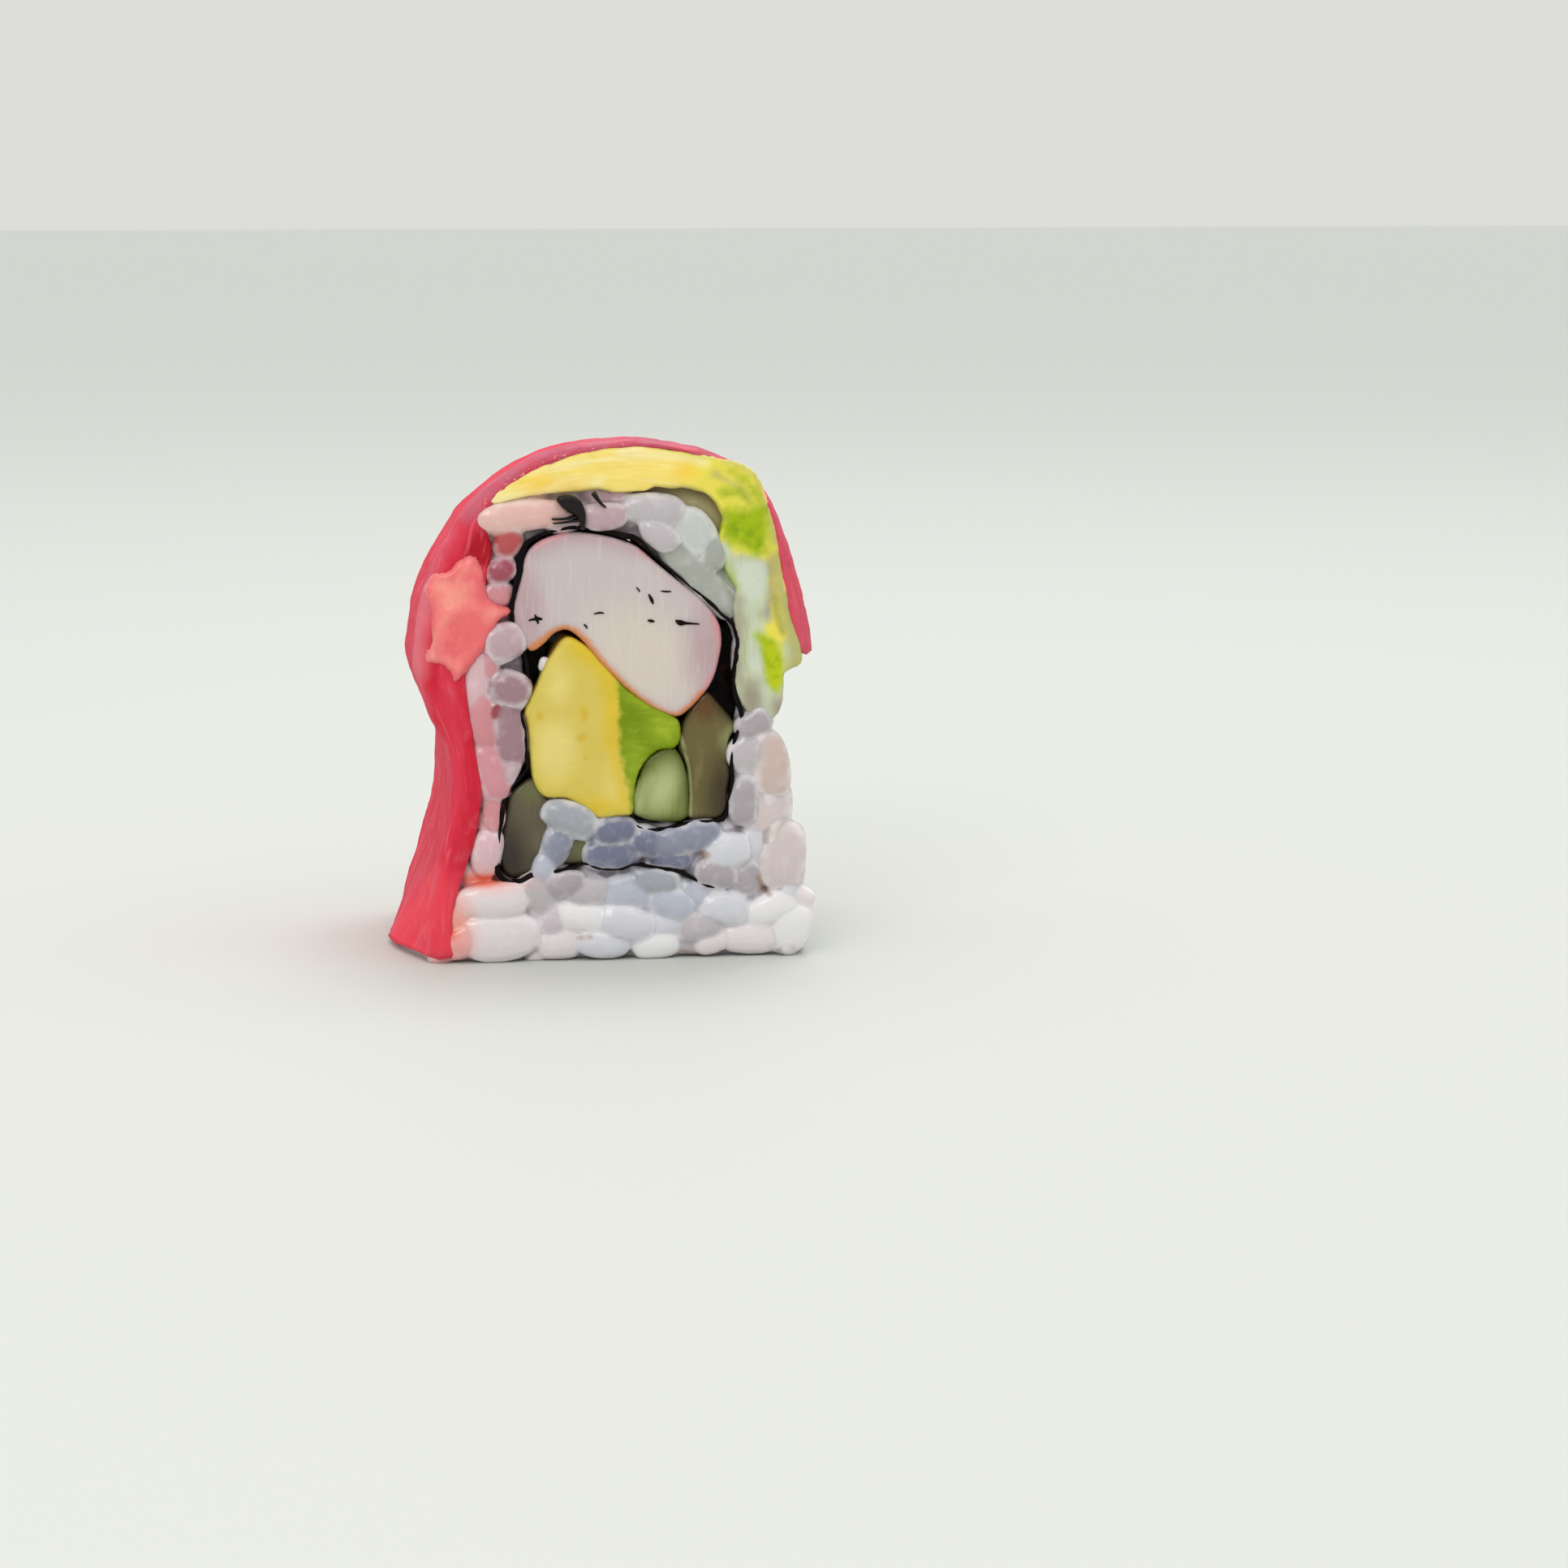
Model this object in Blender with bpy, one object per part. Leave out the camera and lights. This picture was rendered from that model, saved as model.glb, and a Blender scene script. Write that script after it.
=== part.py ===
"""One cut piece of a rainbow roll, standing with its cut faces at the front and the back.

A sheet of nori is rolled round crab stick, avocado and cucumber, with rice outside it.
A slice of avocado lies over the rice and a slice of tuna is draped over both.
Every part runs from the front cut (-Y) to the back cut (+Y). The section is drawn in
millimetres in the plane of the front cut, with x to the right and z up from the base.
"""

import math
import random

import bpy
import numpy as np
from mathutils import Matrix, Vector

MM = 0.001

# Sizes of the piece, in millimetres
CUT_LENGTH = 28.0
HEIGHT = 46.8
GAP = 0.3
NORI_THICKNESS = 0.45
EDGE_ROUND = 0.35
RICE_SETBACK = 0.9
OVERSHOOT = 3.0
STATIONS = 5

# How the section changes from the front cut to the back cut
BACK_HEIGHT_SHARE = 0.96
BACK_LEAN = 2.0
FOOT_FLARE = 3.6
FOOT_HEIGHT = 9.0
FOOT_START = -11.0
FOOT_BLEND = 3.0
FLARE_LENGTH = 12.3
BACK_FLARE_SHARE = 0.4

# Sizes of a cooked rice grain, in millimetres. A short grain is one that is cut or lies end on
GRAIN_LENGTH = 5.4
SHORT_GRAIN_LENGTH = 2.4
GRAIN_WIDTH = 2.9
THIN_GRAIN_WIDTH = 1.6
GRAIN_FLATNESS = 0.86
GRAIN_SIDES = 5
GRAIN_RINGS = ((-0.34, 0.41), (0.0, 0.52), (0.35, 0.4))
FACE_GRAIN_SINK = (0.5, 0.9)
SIDE_GRAIN_SINK = (0.1, 0.4)
GRAIN_SPACING = 0.62
GRAIN_MARGIN = 0.12
GRAIN_TRIES = 9000
GRAIN_SEED = 11

# Middle line of the tuna slice, from its flared foot over the top: x, z, thickness
TUNA_LINE = (
    (-14.2, 0.6, 2.0),
    (-14.1, 5.0, 1.9),
    (-13.2, 9.0, 2.4),
    (-12.3, 12.5, 2.6),
    (-12.0, 16.0, 2.6),
    (-12.4, 19.5, 2.5),
    (-13.5, 23.2, 3.5),
    (-14.1, 26.5, 4.6),
    (-13.5, 29.3, 5.6),
    (-13.0, 32.0, 5.7),
    (-12.5, 34.6, 5.0),
    (-11.7, 37.2, 4.2),
    (-11.1, 39.6, 2.6),
    (-9.9, 41.5, 1.6),
    (-7.5, 43.6, 1.2),
    (-5.2, 44.9, 1.2),
    (-2.3, 45.8, 1.1),
    (0.9, 46.3, 0.9),
    (3.8, 46.4, 0.8),
    (6.3, 46.1, 0.7),
    (9.0, 45.5, 0.7),
    (11.6, 44.5, 0.7),
    (13.7, 43.0, 0.7),
    (15.1, 41.1, 0.7),
    (16.1, 38.5, 0.9),
    (16.8, 36.0, 1.2),
    (17.4, 33.0, 1.6),
    (18.1, 30.1, 1.5),
    (18.6, 27.6, 0.9),
)

# Torn flake of the tuna that lies over its front cut and the edge of the rice
TORN_FLAKE = (
    (-12.5, 36.6),
    (-10.5, 36.4),
    (-10.0, 34.0),
    (-9.6, 32.2),
    (-8.7, 31.7),
    (-9.7, 30.2),
    (-10.2, 28.6),
    (-12.5, 27.5),
    (-15.0, 27.5),
    (-15.2, 29.5),
    (-14.6, 32.5),
    (-14.5, 35.0),
)
FLAKE_RELIEF = 0.5

# Middle line of the avocado slice that lies under the tuna: x, z, thickness
AVOCADO_SLICE_LINE = (
    (-8.6, 41.7, 0.7),
    (-7.0, 42.4, 1.3),
    (-4.8, 43.0, 2.0),
    (-2.0, 43.5, 2.9),
    (1.0, 43.9, 3.3),
    (4.0, 43.9, 3.6),
    (7.0, 43.6, 3.2),
    (9.6, 42.8, 3.1),
    (11.6, 41.5, 3.6),
    (12.9, 39.6, 4.1),
    (13.5, 37.0, 3.9),
    (14.0, 34.4, 3.7),
    (14.2, 31.6, 4.3),
    (14.8, 28.6, 4.8),
    (15.1, 26.2, 4.6),
    (14.8, 23.8, 3.2),
    (14.7, 22.2, 1.9),
)

# Middle line of the nori, from its inner end, up the right side, round to its outer end
NORI_LINE = (
    (3.6, 12.0),
    (8.4, 12.2),
    (11.2, 12.7),
    (11.7, 14.6),
    (11.7, 19.2),
    (12.7, 22.4),
    (12.1, 25.2),
    (12.1, 29.0),
    (10.3, 31.9),
    (6.0, 35.4),
    (3.4, 37.8),
    (-1.5, 39.1),
    (-5.5, 38.4),
    (-7.4, 35.6),
    (-8.0, 31.5),
    (-6.8, 27.3),
    (-7.1, 22.5),
    (-6.9, 18.2),
    (-8.7, 15.0),
    (-9.4, 10.5),
    (-8.5, 7.7),
    (-5.5, 7.7),
    (-1.2, 8.5),
    (3.2, 8.5),
    (7.5, 7.6),
    (11.5, 6.2),
)
NORI_TURN_START = 2
NORI_TURN_END = 21

# Left end of the rice that is rolled in between the two layers of nori
RICE_TONGUE_END = ((-5.0, 8.3), (-4.9, 12.2), (-3.6, 13.8), (-0.8, 12.7), (2.4, 12.6))

# Right side of the rice below the avocado slice, down to the base
RICE_RIGHT_SIDE = (
    (15.3, 22.0),
    (15.5, 20.2),
    (16.4, 17.4),
    (17.0, 12.6),
    (18.0, 8.4),
    (18.3, 4.0),
    (18.5, 0.0),
)
RICE_FOOT_LEFT = (-14.6, 0.0)

# Hollow that opens at the front between the rice and the avocado slice
TOP_HOLLOW = ((4.9, 42.0), (7.0, 42.6), (9.4, 42.0), (11.0, 39.7), (8.8, 40.4), (7.0, 41.4))
TOP_HOLLOW_DEPTH = 6.0

CRAB_STICK = (
    (-7.3, 31.6),
    (-6.5, 29.2),
    (-5.4, 28.5),
    (-4.2, 29.5),
    (-2.9, 30.0),
    (0.3, 27.2),
    (3.6, 24.1),
    (7.0, 22.2),
    (9.6, 24.3),
    (10.9, 28.0),
    (9.9, 31.4),
    (5.6, 34.9),
    (3.0, 37.3),
    (-1.5, 38.4),
    (-5.2, 37.8),
    (-6.7, 35.2),
)

AVOCADO_WEDGE = (
    (-4.4, 27.4),
    (-2.9, 29.2),
    (-1.2, 28.3),
    (2.2, 24.6),
    (4.6, 22.8),
    (6.8, 21.4),
    (6.7, 19.7),
    (4.2, 18.6),
    (3.0, 16.4),
    (2.6, 13.6),
    (0.6, 13.2),
    (-1.8, 14.2),
    (-4.0, 14.9),
    (-5.4, 15.6),
    (-6.1, 18.2),
    (-6.4, 22.6),
)

CUCUMBER_PALE = (
    (3.7, 16.6),
    (4.8, 18.2),
    (6.3, 18.8),
    (7.3, 18.0),
    (7.6, 13.4),
    (5.6, 12.8),
    (3.3, 13.2),
)

CUCUMBER_GREEN = (
    (7.3, 21.0),
    (8.4, 22.3),
    (9.7, 23.3),
    (11.1, 22.2),
    (11.9, 20.8),
    (11.1, 19.0),
    (11.1, 15.0),
    (10.6, 13.3),
    (8.3, 13.1),
    (8.2, 17.4),
)

CUCUMBER_CORNER = (
    (-6.7, 16.1),
    (-8.2, 14.6),
    (-8.9, 10.3),
    (-8.2, 8.4),
    (-5.9, 8.4),
    (-5.5, 11.8),
    (-4.9, 14.3),
)

# Colour, roughness and light carried under the surface, by food
FINISHES = {
    "rice": ((0.86, 0.85, 0.83), 0.42, 0.3),
    "nori": ((0.012, 0.012, 0.010), 0.55, 0.0),
    "tuna": ((0.62, 0.06, 0.09), 0.25, 0.3),
    "avocado": ((0.80, 0.66, 0.14), 0.4, 0.2),
    "crab": ((0.84, 0.76, 0.74), 0.35, 0.3),
    "cucumber": ((0.34, 0.40, 0.20), 0.3, 0.3),
}
CREASE_ANGLE = math.radians(50.0)


def smooth_line(landmarks, spacing, closed=False):
    """Points about spacing apart on a smooth curve through the landmarks.

    The first two columns are x and z. A further column, such as a thickness, is carried along.
    """
    marks = np.array(landmarks, float)
    if closed:
        marks = np.vstack([marks[-1:], marks, marks[:2]])
    else:
        before = 2 * marks[:1] - marks[1:2]
        after = 2 * marks[-1:] - marks[-2:-1]
        marks = np.vstack([before, marks, after])
    spans = np.sqrt(np.linalg.norm(np.diff(marks[:, :2], axis=0), axis=1))[:, None]
    slopes = np.diff(marks, axis=0) / spans
    tangents = (slopes[:-1] * spans[1:] + slopes[1:] * spans[:-1]) / (spans[:-1] + spans[1:])
    t = np.linspace(0.0, 1.0, 40, endpoint=False)[:, None]
    dense = []
    for i in range(1, len(marks) - 2):
        dense.append(
            (2 * t**3 - 3 * t**2 + 1) * marks[i]
            + (t**3 - 2 * t**2 + t) * spans[i] * tangents[i - 1]
            + (3 * t**2 - 2 * t**3) * marks[i + 1]
            + (t**3 - t**2) * spans[i] * tangents[i]
        )
    dense = np.vstack([*dense, marks[-2:-1]])
    walked = np.linalg.norm(np.diff(dense[:, :2], axis=0), axis=1)
    walked = np.concatenate([[0.0], np.cumsum(walked)])
    count = max(3, round(walked[-1] / spacing))
    wanted = np.linspace(0.0, walked[-1], count + 1)
    points = np.column_stack([np.interp(wanted, walked, column) for column in dense.T])
    return points[:-1] if closed else points


def unit(vectors):
    """The vectors at length one."""
    return vectors / np.maximum(np.linalg.norm(vectors, axis=1, keepdims=True), 1e-9)


def area(outline):
    """Signed area of a closed outline, positive where it runs anticlockwise."""
    x, z = outline.T
    return 0.5 * float(np.sum(x * np.roll(z, -1) - np.roll(x, -1) * z))


def strip_outline(line):
    """Closed outline of a strip that follows a line of x, z and thickness, with blunt round ends."""
    ahead = unit(np.gradient(line[:, :2], axis=0))
    sideways = np.column_stack([-ahead[:, 1], ahead[:, 0]])
    half = line[:, 2:3] / 2
    left, right = line[:, :2] + sideways * half, line[:, :2] - sideways * half
    nose = line[-1:, :2] + ahead[-1:] * half[-1] * 0.5
    tail = line[:1, :2] - ahead[:1] * half[0] * 0.25
    return np.vstack([right, nose, left[::-1], tail])


def grown(outline, distance):
    """The closed outline moved outwards by distance, or inwards where it is negative."""
    ahead = unit(np.roll(outline, -1, axis=0) - np.roll(outline, 1, axis=0))
    outwards = np.column_stack([ahead[:, 1], -ahead[:, 0]])
    return outline + outwards * distance * math.copysign(1.0, area(outline))


def nearest_on(points, outline):
    """For each point, the nearest place on a closed outline and its distance."""
    start = outline
    along = np.roll(outline, -1, axis=0) - outline
    lengths = np.maximum((along**2).sum(1), 1e-12)
    share = np.clip(((points[:, None] - start) * along).sum(2) / lengths, 0.0, 1.0)
    places = start + along * share[..., None]
    distances = np.linalg.norm(points[:, None] - places, axis=2)
    best = distances.argmin(1)
    rows = np.arange(len(points))
    return places[rows, best], distances[rows, best]


def depth_inside(points, outline):
    """Distance of each point from a closed outline, positive inside it."""
    _, distance = nearest_on(points, outline)
    x, z = points[:, 0:1], points[:, 1:2]
    start_x, start_z = outline.T
    end_x, end_z = np.roll(outline, -1, axis=0).T
    rises = (start_z > z) != (end_z > z)
    run = np.where(end_z == start_z, 1.0, end_z - start_z)
    crossed = rises & (x < (end_x - start_x) * (z - start_z) / run + start_x)
    return np.where(crossed.sum(1) % 2 == 1, distance, -distance)


def kept_clear(outline, neighbour):
    """The outline with the points that come too near a neighbour moved out to the gap."""
    places, _ = nearest_on(outline, neighbour)
    depth = depth_inside(outline, neighbour)
    away = unit(outline - places) * np.where(depth > 0, -1.0, 1.0)[:, None]
    near = (depth > -GAP)[:, None]
    return np.where(near, places + away * GAP, outline)


def nearest_index(line, place):
    """Index of the point of the line that is nearest to a place."""
    return int(np.linalg.norm(line[:, :2] - np.array(place[:2]), axis=1).argmin())


def placed(section, y):
    """Points of the section at depth y, in metres.

    Towards the back the piece sinks a little and leans to the right. Its left foot spreads out
    over the flare length and draws in again behind it.
    """
    x, z = section.T
    share = min(max(y / CUT_LENGTH + 0.5, 0.0), 1.0)
    behind = share * CUT_LENGTH
    drawn_in = max(behind - FLARE_LENGTH, 0.0) / (CUT_LENGTH - FLARE_LENGTH)
    spread = math.sin(math.pi / 2 * min(behind / FLARE_LENGTH, 1.0))
    spread *= 1.0 - (1.0 - BACK_FLARE_SHARE) * drawn_in
    low = np.clip(1.0 - z / FOOT_HEIGHT, 0.0, 1.0) ** 1.5
    leftward = np.clip((FOOT_START - x) / FOOT_BLEND, 0.0, 1.0)
    x = x + BACK_LEAN * share * (z / HEIGHT) ** 2 - FOOT_FLARE * spread * low * leftward
    z = z * (1.0 - (1.0 - BACK_HEIGHT_SHARE) * share)
    return np.column_stack([x, np.full(len(section), y), z]) * MM


def finish(name):
    """The material of one food."""
    found = bpy.data.materials.get(name)
    if found:
        return found
    colour, roughness, subsurface = FINISHES[name]
    material = bpy.data.materials.new(name)
    material.use_nodes = True
    shader = material.node_tree.nodes["Principled BSDF"]
    shader.inputs["Base Color"].default_value = (*colour, 1.0)
    shader.inputs["Roughness"].default_value = roughness
    shader.inputs["Metallic"].default_value = 0.0
    shader.inputs["Subsurface Weight"].default_value = subsurface
    return material


def add_object(name, mesh, food=None):
    """A named object in the scene that holds the mesh."""
    mesh.shade_smooth()
    mesh.set_sharp_from_angle(angle=CREASE_ANGLE)
    if food:
        mesh.materials.append(finish(food))
    piece = bpy.data.objects.new(name, mesh)
    bpy.context.scene.collection.objects.link(piece)
    return piece


def depths(front, back, rounding):
    """Depths of the sections of a solid, each with how far its outline is drawn in."""
    shared = np.linspace(EDGE_ROUND - CUT_LENGTH / 2, CUT_LENGTH / 2 - EDGE_ROUND, STATIONS)
    found = [(y, 0.0) for y in shared if front + 2 * rounding < y < back - 2 * rounding]
    if rounding:
        found += [(front + rounding, 0.0), (back - rounding, 0.0)]
    return sorted([*found, (front, -rounding / 2), (back, -rounding / 2)])


def lofted(name, outline, front, back, food=None, rounding=EDGE_ROUND):
    """A solid with the outline as its section, from depth front to depth back.

    The outline is drawn in a little at both cuts, so that the food has soft edges there.
    """
    if area(outline) < 0:
        outline = outline[::-1]
    stations = depths(front, back, rounding)
    rings = [placed(grown(outline, inset), y) for y, inset in stations]
    count = len(outline)
    faces = [tuple(range(count))]
    for ring in range(len(rings) - 1):
        start = ring * count
        for i in range(count):
            j = (i + 1) % count
            faces.append((start + j, start + i, start + count + i, start + count + j))
    last = (len(rings) - 1) * count
    faces.append(tuple(last + i for i in reversed(range(count))))
    mesh = bpy.data.meshes.new(name)
    mesh.from_pydata(np.vstack(rings).tolist(), [], faces)
    mesh.validate()
    return add_object(name, mesh, food)


def cutter(name, outline, back=CUT_LENGTH / 2 + OVERSHOOT):
    """A helper solid that is taken away from the rice and isn't part of the model."""
    piece = lofted("cut_" + name, outline, -CUT_LENGTH / 2 - OVERSHOOT, back, rounding=0.0)
    piece.hide_render = True
    piece.display_type = "WIRE"
    return piece


def grain_mesh():
    """A cooked rice grain of length and width one, along X."""
    points = [(-0.5, 0.0, 0.0)]
    for place, radius in GRAIN_RINGS:
        for k in range(GRAIN_SIDES):
            turn = 2 * math.pi * k / GRAIN_SIDES
            points.append((place, radius * math.cos(turn), radius * math.sin(turn)))
    points.append((0.5, 0.0, 0.0))
    tip = len(points) - 1
    faces = []
    for k in range(GRAIN_SIDES):
        after = (k + 1) % GRAIN_SIDES
        faces.append((0, 1 + after, 1 + k))
        for ring in range(len(GRAIN_RINGS) - 1):
            a = 1 + ring * GRAIN_SIDES
            b = a + GRAIN_SIDES
            faces.append((a + k, a + after, b + after, b + k))
        last = 1 + (len(GRAIN_RINGS) - 1) * GRAIN_SIDES
        faces.append((last + k, last + after, tip))
    mesh = bpy.data.meshes.new("grain")
    mesh.from_pydata(points, [], faces)
    return mesh


def grain_matrix(centre, along, outwards, length, width):
    """Places the unit grain at centre, lying along one direction and flat to another."""
    along = Vector(along).normalized()
    side = Vector(outwards).cross(along).normalized()
    turn = Matrix((along, side, along.cross(side))).transposed()
    size = Matrix.Diagonal((length * MM, width * MM, width * GRAIN_FLATNESS * MM, 1.0))
    return Matrix.Translation(Vector(centre)) @ turn.to_4x4() @ size


def scattered_grains(low, high, room, seed):
    """Grains spread over a flat field between two corners, the longest first.

    The room function tells how far each of some points is from what the grains must keep off.
    Gives a list of centre, direction, length, width and a draw between 0 and 1.
    """
    draw = random.Random(seed)
    laid = []
    spines = []
    for count in range(GRAIN_TRIES):
        shrink = count / GRAIN_TRIES
        length = GRAIN_LENGTH + (SHORT_GRAIN_LENGTH - GRAIN_LENGTH) * shrink
        angle = draw.uniform(0.0, math.pi)
        centre = np.array([draw.uniform(low[0], high[0]), draw.uniform(low[1], high[1])])
        along = np.array([math.cos(angle), math.sin(angle)])
        spine = centre + along * np.linspace(-0.5, 0.5, 4)[:, None] * (length - THIN_GRAIN_WIDTH)
        width = draw.uniform((THIN_GRAIN_WIDTH + GRAIN_WIDTH) / 2, GRAIN_WIDTH)
        width = min(width, 2.0 * (room(spine).min() - GRAIN_MARGIN))
        if width < THIN_GRAIN_WIDTH:
            continue
        near = (
            np.linalg.norm(spine[:, None] - other[None], axis=2).min() / (width + other_width)
            for other, other_width in spines
        )
        if min(near, default=1.0) > GRAIN_SPACING / 2:
            spines.append((spine, width))
            laid.append((centre, along, length, width, draw.random()))
    return laid


def face_grains(shapes, side, seed):
    """Places of the grains in one cut face. The side is -1 at the front cut and 1 at the back."""
    kept_off = list(shapes["cuts"].values())
    if side < 0:
        kept_off.append(grown(shapes["flake"], GAP))

    def room(points):
        inside = depth_inside(points, shapes["body"])
        for outline in kept_off:
            inside = np.minimum(inside, -depth_inside(points, outline))
        return inside

    low, high = shapes["body"].min(axis=0), shapes["body"].max(axis=0)
    found = []
    for centre, along, length, width, chance in scattered_grains(low, high, room, seed):
        sink = np.interp(chance, (0.0, 1.0), FACE_GRAIN_SINK)
        spot = placed(centre[None], side * (CUT_LENGTH / 2 - sink))[0]
        found.append(grain_matrix(spot, (along[0], 0.0, along[1]), (0, 1, 0), length, width))
    return found


def side_grains(seed):
    """Places of the grains on the bare right side, between the two cuts."""
    line = smooth_line(RICE_RIGHT_SIDE, 0.5)[::-1]
    heights = line[:, 1]
    slopes = np.gradient(line[:, 0], heights)
    low = (RICE_SETBACK - CUT_LENGTH / 2, heights[0])
    high = (CUT_LENGTH / 2 - RICE_SETBACK, heights[-1] - 1.6)

    def room(points):
        return np.minimum(points - low, high - points).min(axis=1)

    found = []
    for centre, along, length, width, chance in scattered_grains(low, high, room, seed):
        y, z = centre
        sink = np.interp(chance, (0.0, 1.0), SIDE_GRAIN_SINK)
        spot = placed(np.array([[np.interp(z, heights, line[:, 0]) - sink, z]]), y)[0]
        slope = np.interp(z, heights, slopes)
        direction = (slope * along[1], along[0], along[1])
        found.append(grain_matrix(spot, direction, (1.0, 0.0, -slope), length, width))
    return found


def section_shapes():
    """The closed outlines of the slices, the nori and the rice, and what is cut from the rice."""
    tuna_line = smooth_line(TUNA_LINE, 2.4)
    avocado_line = smooth_line(AVOCADO_SLICE_LINE, 2.2)
    nori_line = smooth_line(NORI_LINE, 1.9)
    nori_line = np.column_stack([nori_line, np.full(len(nori_line), NORI_THICKNESS)])
    tuna = strip_outline(tuna_line)
    nori = strip_outline(nori_line)
    avocado = kept_clear(kept_clear(strip_outline(avocado_line), nori), tuna)
    turn = smooth_line(NORI_LINE[NORI_TURN_START : NORI_TURN_END + 1], 1.9)
    inner_end = smooth_line(NORI_LINE[: NORI_TURN_START + 1], 1.9)
    start = nearest_index(tuna_line, AVOCADO_SLICE_LINE[0])
    body = [
        np.array([RICE_FOOT_LEFT]),
        tuna_line[1:start, :2],
        avocado_line[:-2, :2],
        smooth_line(RICE_RIGHT_SIDE, 2.6),
    ]
    return {
        "tuna": tuna,
        "flake": smooth_line(TORN_FLAKE, 1.8, closed=True),
        "avocado_slice": avocado,
        "nori": nori,
        "body": np.vstack(body),
        "cuts": {
            "tuna": grown(tuna, GAP),
            "avocado_slice": grown(avocado, GAP),
            "nori": grown(nori, GAP),
            "fillings": np.vstack([turn, np.array(RICE_TONGUE_END), inner_end[:-1]]),
            "hollow": smooth_line(TOP_HOLLOW, 1.2, closed=True),
        },
    }


def apply_modifiers(piece, helpers):
    """Gives the piece its evaluated mesh, and removes the helper objects that shaped it."""
    bpy.context.view_layer.update()
    evaluated = piece.evaluated_get(bpy.context.evaluated_depsgraph_get())
    solid = bpy.data.meshes.new_from_object(evaluated)
    piece.modifiers.clear()
    piece.data = solid
    for helper in helpers:
        bpy.data.objects.remove(helper)


def make_tuna(shapes):
    """The tuna draped over the top and the sides, with its torn flake fused on."""
    half = CUT_LENGTH / 2
    tuna = lofted("tuna", shapes["tuna"], -half, half, "tuna")
    flake = lofted("flake", shapes["flake"], -half - FLAKE_RELIEF, RICE_SETBACK - GAP - half)
    join = tuna.modifiers.new("flake", "BOOLEAN")
    join.operation = "UNION"
    join.solver = "EXACT"
    join.object = flake
    apply_modifiers(tuna, [flake])


def make_wrappers(shapes):
    """The avocado slice under the tuna, and the nori that is rolled in the rice."""
    half = CUT_LENGTH / 2
    lofted("avocado_slice", shapes["avocado_slice"], -half, half, "avocado")
    lofted("nori", shapes["nori"], -half, half, "nori", rounding=0.0)


def make_fillings(shapes):
    """Crab stick, avocado and cucumber inside the nori, each kept clear of those before it."""
    half = CUT_LENGTH / 2
    fillings = (
        ("crab_stick", CRAB_STICK, 2.4, 0.0, "crab"),
        ("avocado_wedge", AVOCADO_WEDGE, 2.2, 0.1, "avocado"),
        ("cucumber_green", CUCUMBER_GREEN, 1.9, 0.3, "cucumber"),
        ("cucumber_pale", CUCUMBER_PALE, 1.7, 0.3, "cucumber"),
        ("cucumber_corner", CUCUMBER_CORNER, 1.9, 0.5, "cucumber"),
    )
    neighbours = [shapes["nori"]]
    for name, landmarks, spacing, setback, food in fillings:
        outline = smooth_line(landmarks, spacing, closed=True)
        for neighbour in neighbours:
            outline = kept_clear(outline, neighbour)
        neighbours.append(outline)
        lofted(name, outline, setback - half, half - setback, food)


def join_grains(core, places):
    """Fuses a rice grain on to the core at each of the places."""
    grains = bpy.data.collections.new("grains")
    bpy.context.scene.collection.children.link(grains)
    unit_grain = grain_mesh()
    for place in places:
        mesh = unit_grain.copy()
        mesh.transform(place)
        grains.objects.link(bpy.data.objects.new("grain", mesh))
    join = core.modifiers.new("grains", "BOOLEAN")
    join.operation = "UNION"
    join.operand_type = "COLLECTION"
    join.solver = "MANIFOLD"
    join.collection = grains
    return grains


def make_rice(shapes):
    """The rice: a core cut to fit what it touches, with the grains that show fused on."""
    half = CUT_LENGTH / 2
    body = lofted("rice", shapes["body"], RICE_SETBACK - half, half - RICE_SETBACK, "rice", 0.0)
    helpers = []
    for name, outline in shapes["cuts"].items():
        back = TOP_HOLLOW_DEPTH - half if name == "hollow" else half + OVERSHOOT
        helpers.append(cutter(name, outline, back))
        cut = body.modifiers.new(name, "BOOLEAN")
        cut.operation = "DIFFERENCE"
        cut.solver = "EXACT"
        cut.object = helpers[-1]
    places = face_grains(shapes, -1, GRAIN_SEED)
    places += face_grains(shapes, 1, GRAIN_SEED + 1)
    places += side_grains(GRAIN_SEED + 2)
    grains = join_grains(body, places)
    apply_modifiers(body, [*helpers, *grains.objects])
    bpy.data.collections.remove(grains)


def stand_on_origin():
    """Moves the parts together so that the middle of the base is at the origin."""
    bpy.context.view_layer.update()
    corners = [
        piece.matrix_world @ Vector(corner)
        for piece in bpy.context.scene.objects
        for corner in piece.bound_box
    ]
    low = Vector(map(min, zip(*corners)))
    high = Vector(map(max, zip(*corners)))
    for piece in bpy.context.scene.objects:
        piece.location = (-(low.x + high.x) / 2, -(low.y + high.y) / 2, -low.z)


def main():
    """Builds the whole piece."""
    for old in list(bpy.data.objects):
        bpy.data.objects.remove(old)
    shapes = section_shapes()
    make_tuna(shapes)
    make_wrappers(shapes)
    make_fillings(shapes)
    make_rice(shapes)
    stand_on_origin()


main()
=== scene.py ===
"""Looks of one cut piece of a rainbow roll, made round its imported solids.

The section is drawn in millimetres in the plane of the front cut, with x to the right and z up
from the base. The depth y runs from -14 at the front cut to 14 at the back cut.
"""

import logging
import math
import random
from dataclasses import dataclass, field
from enum import Enum
from typing import Any, Callable

import bpy
import numpy as np
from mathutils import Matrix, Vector, noise
from mathutils.geometry import delaunay_2d_cdt


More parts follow.
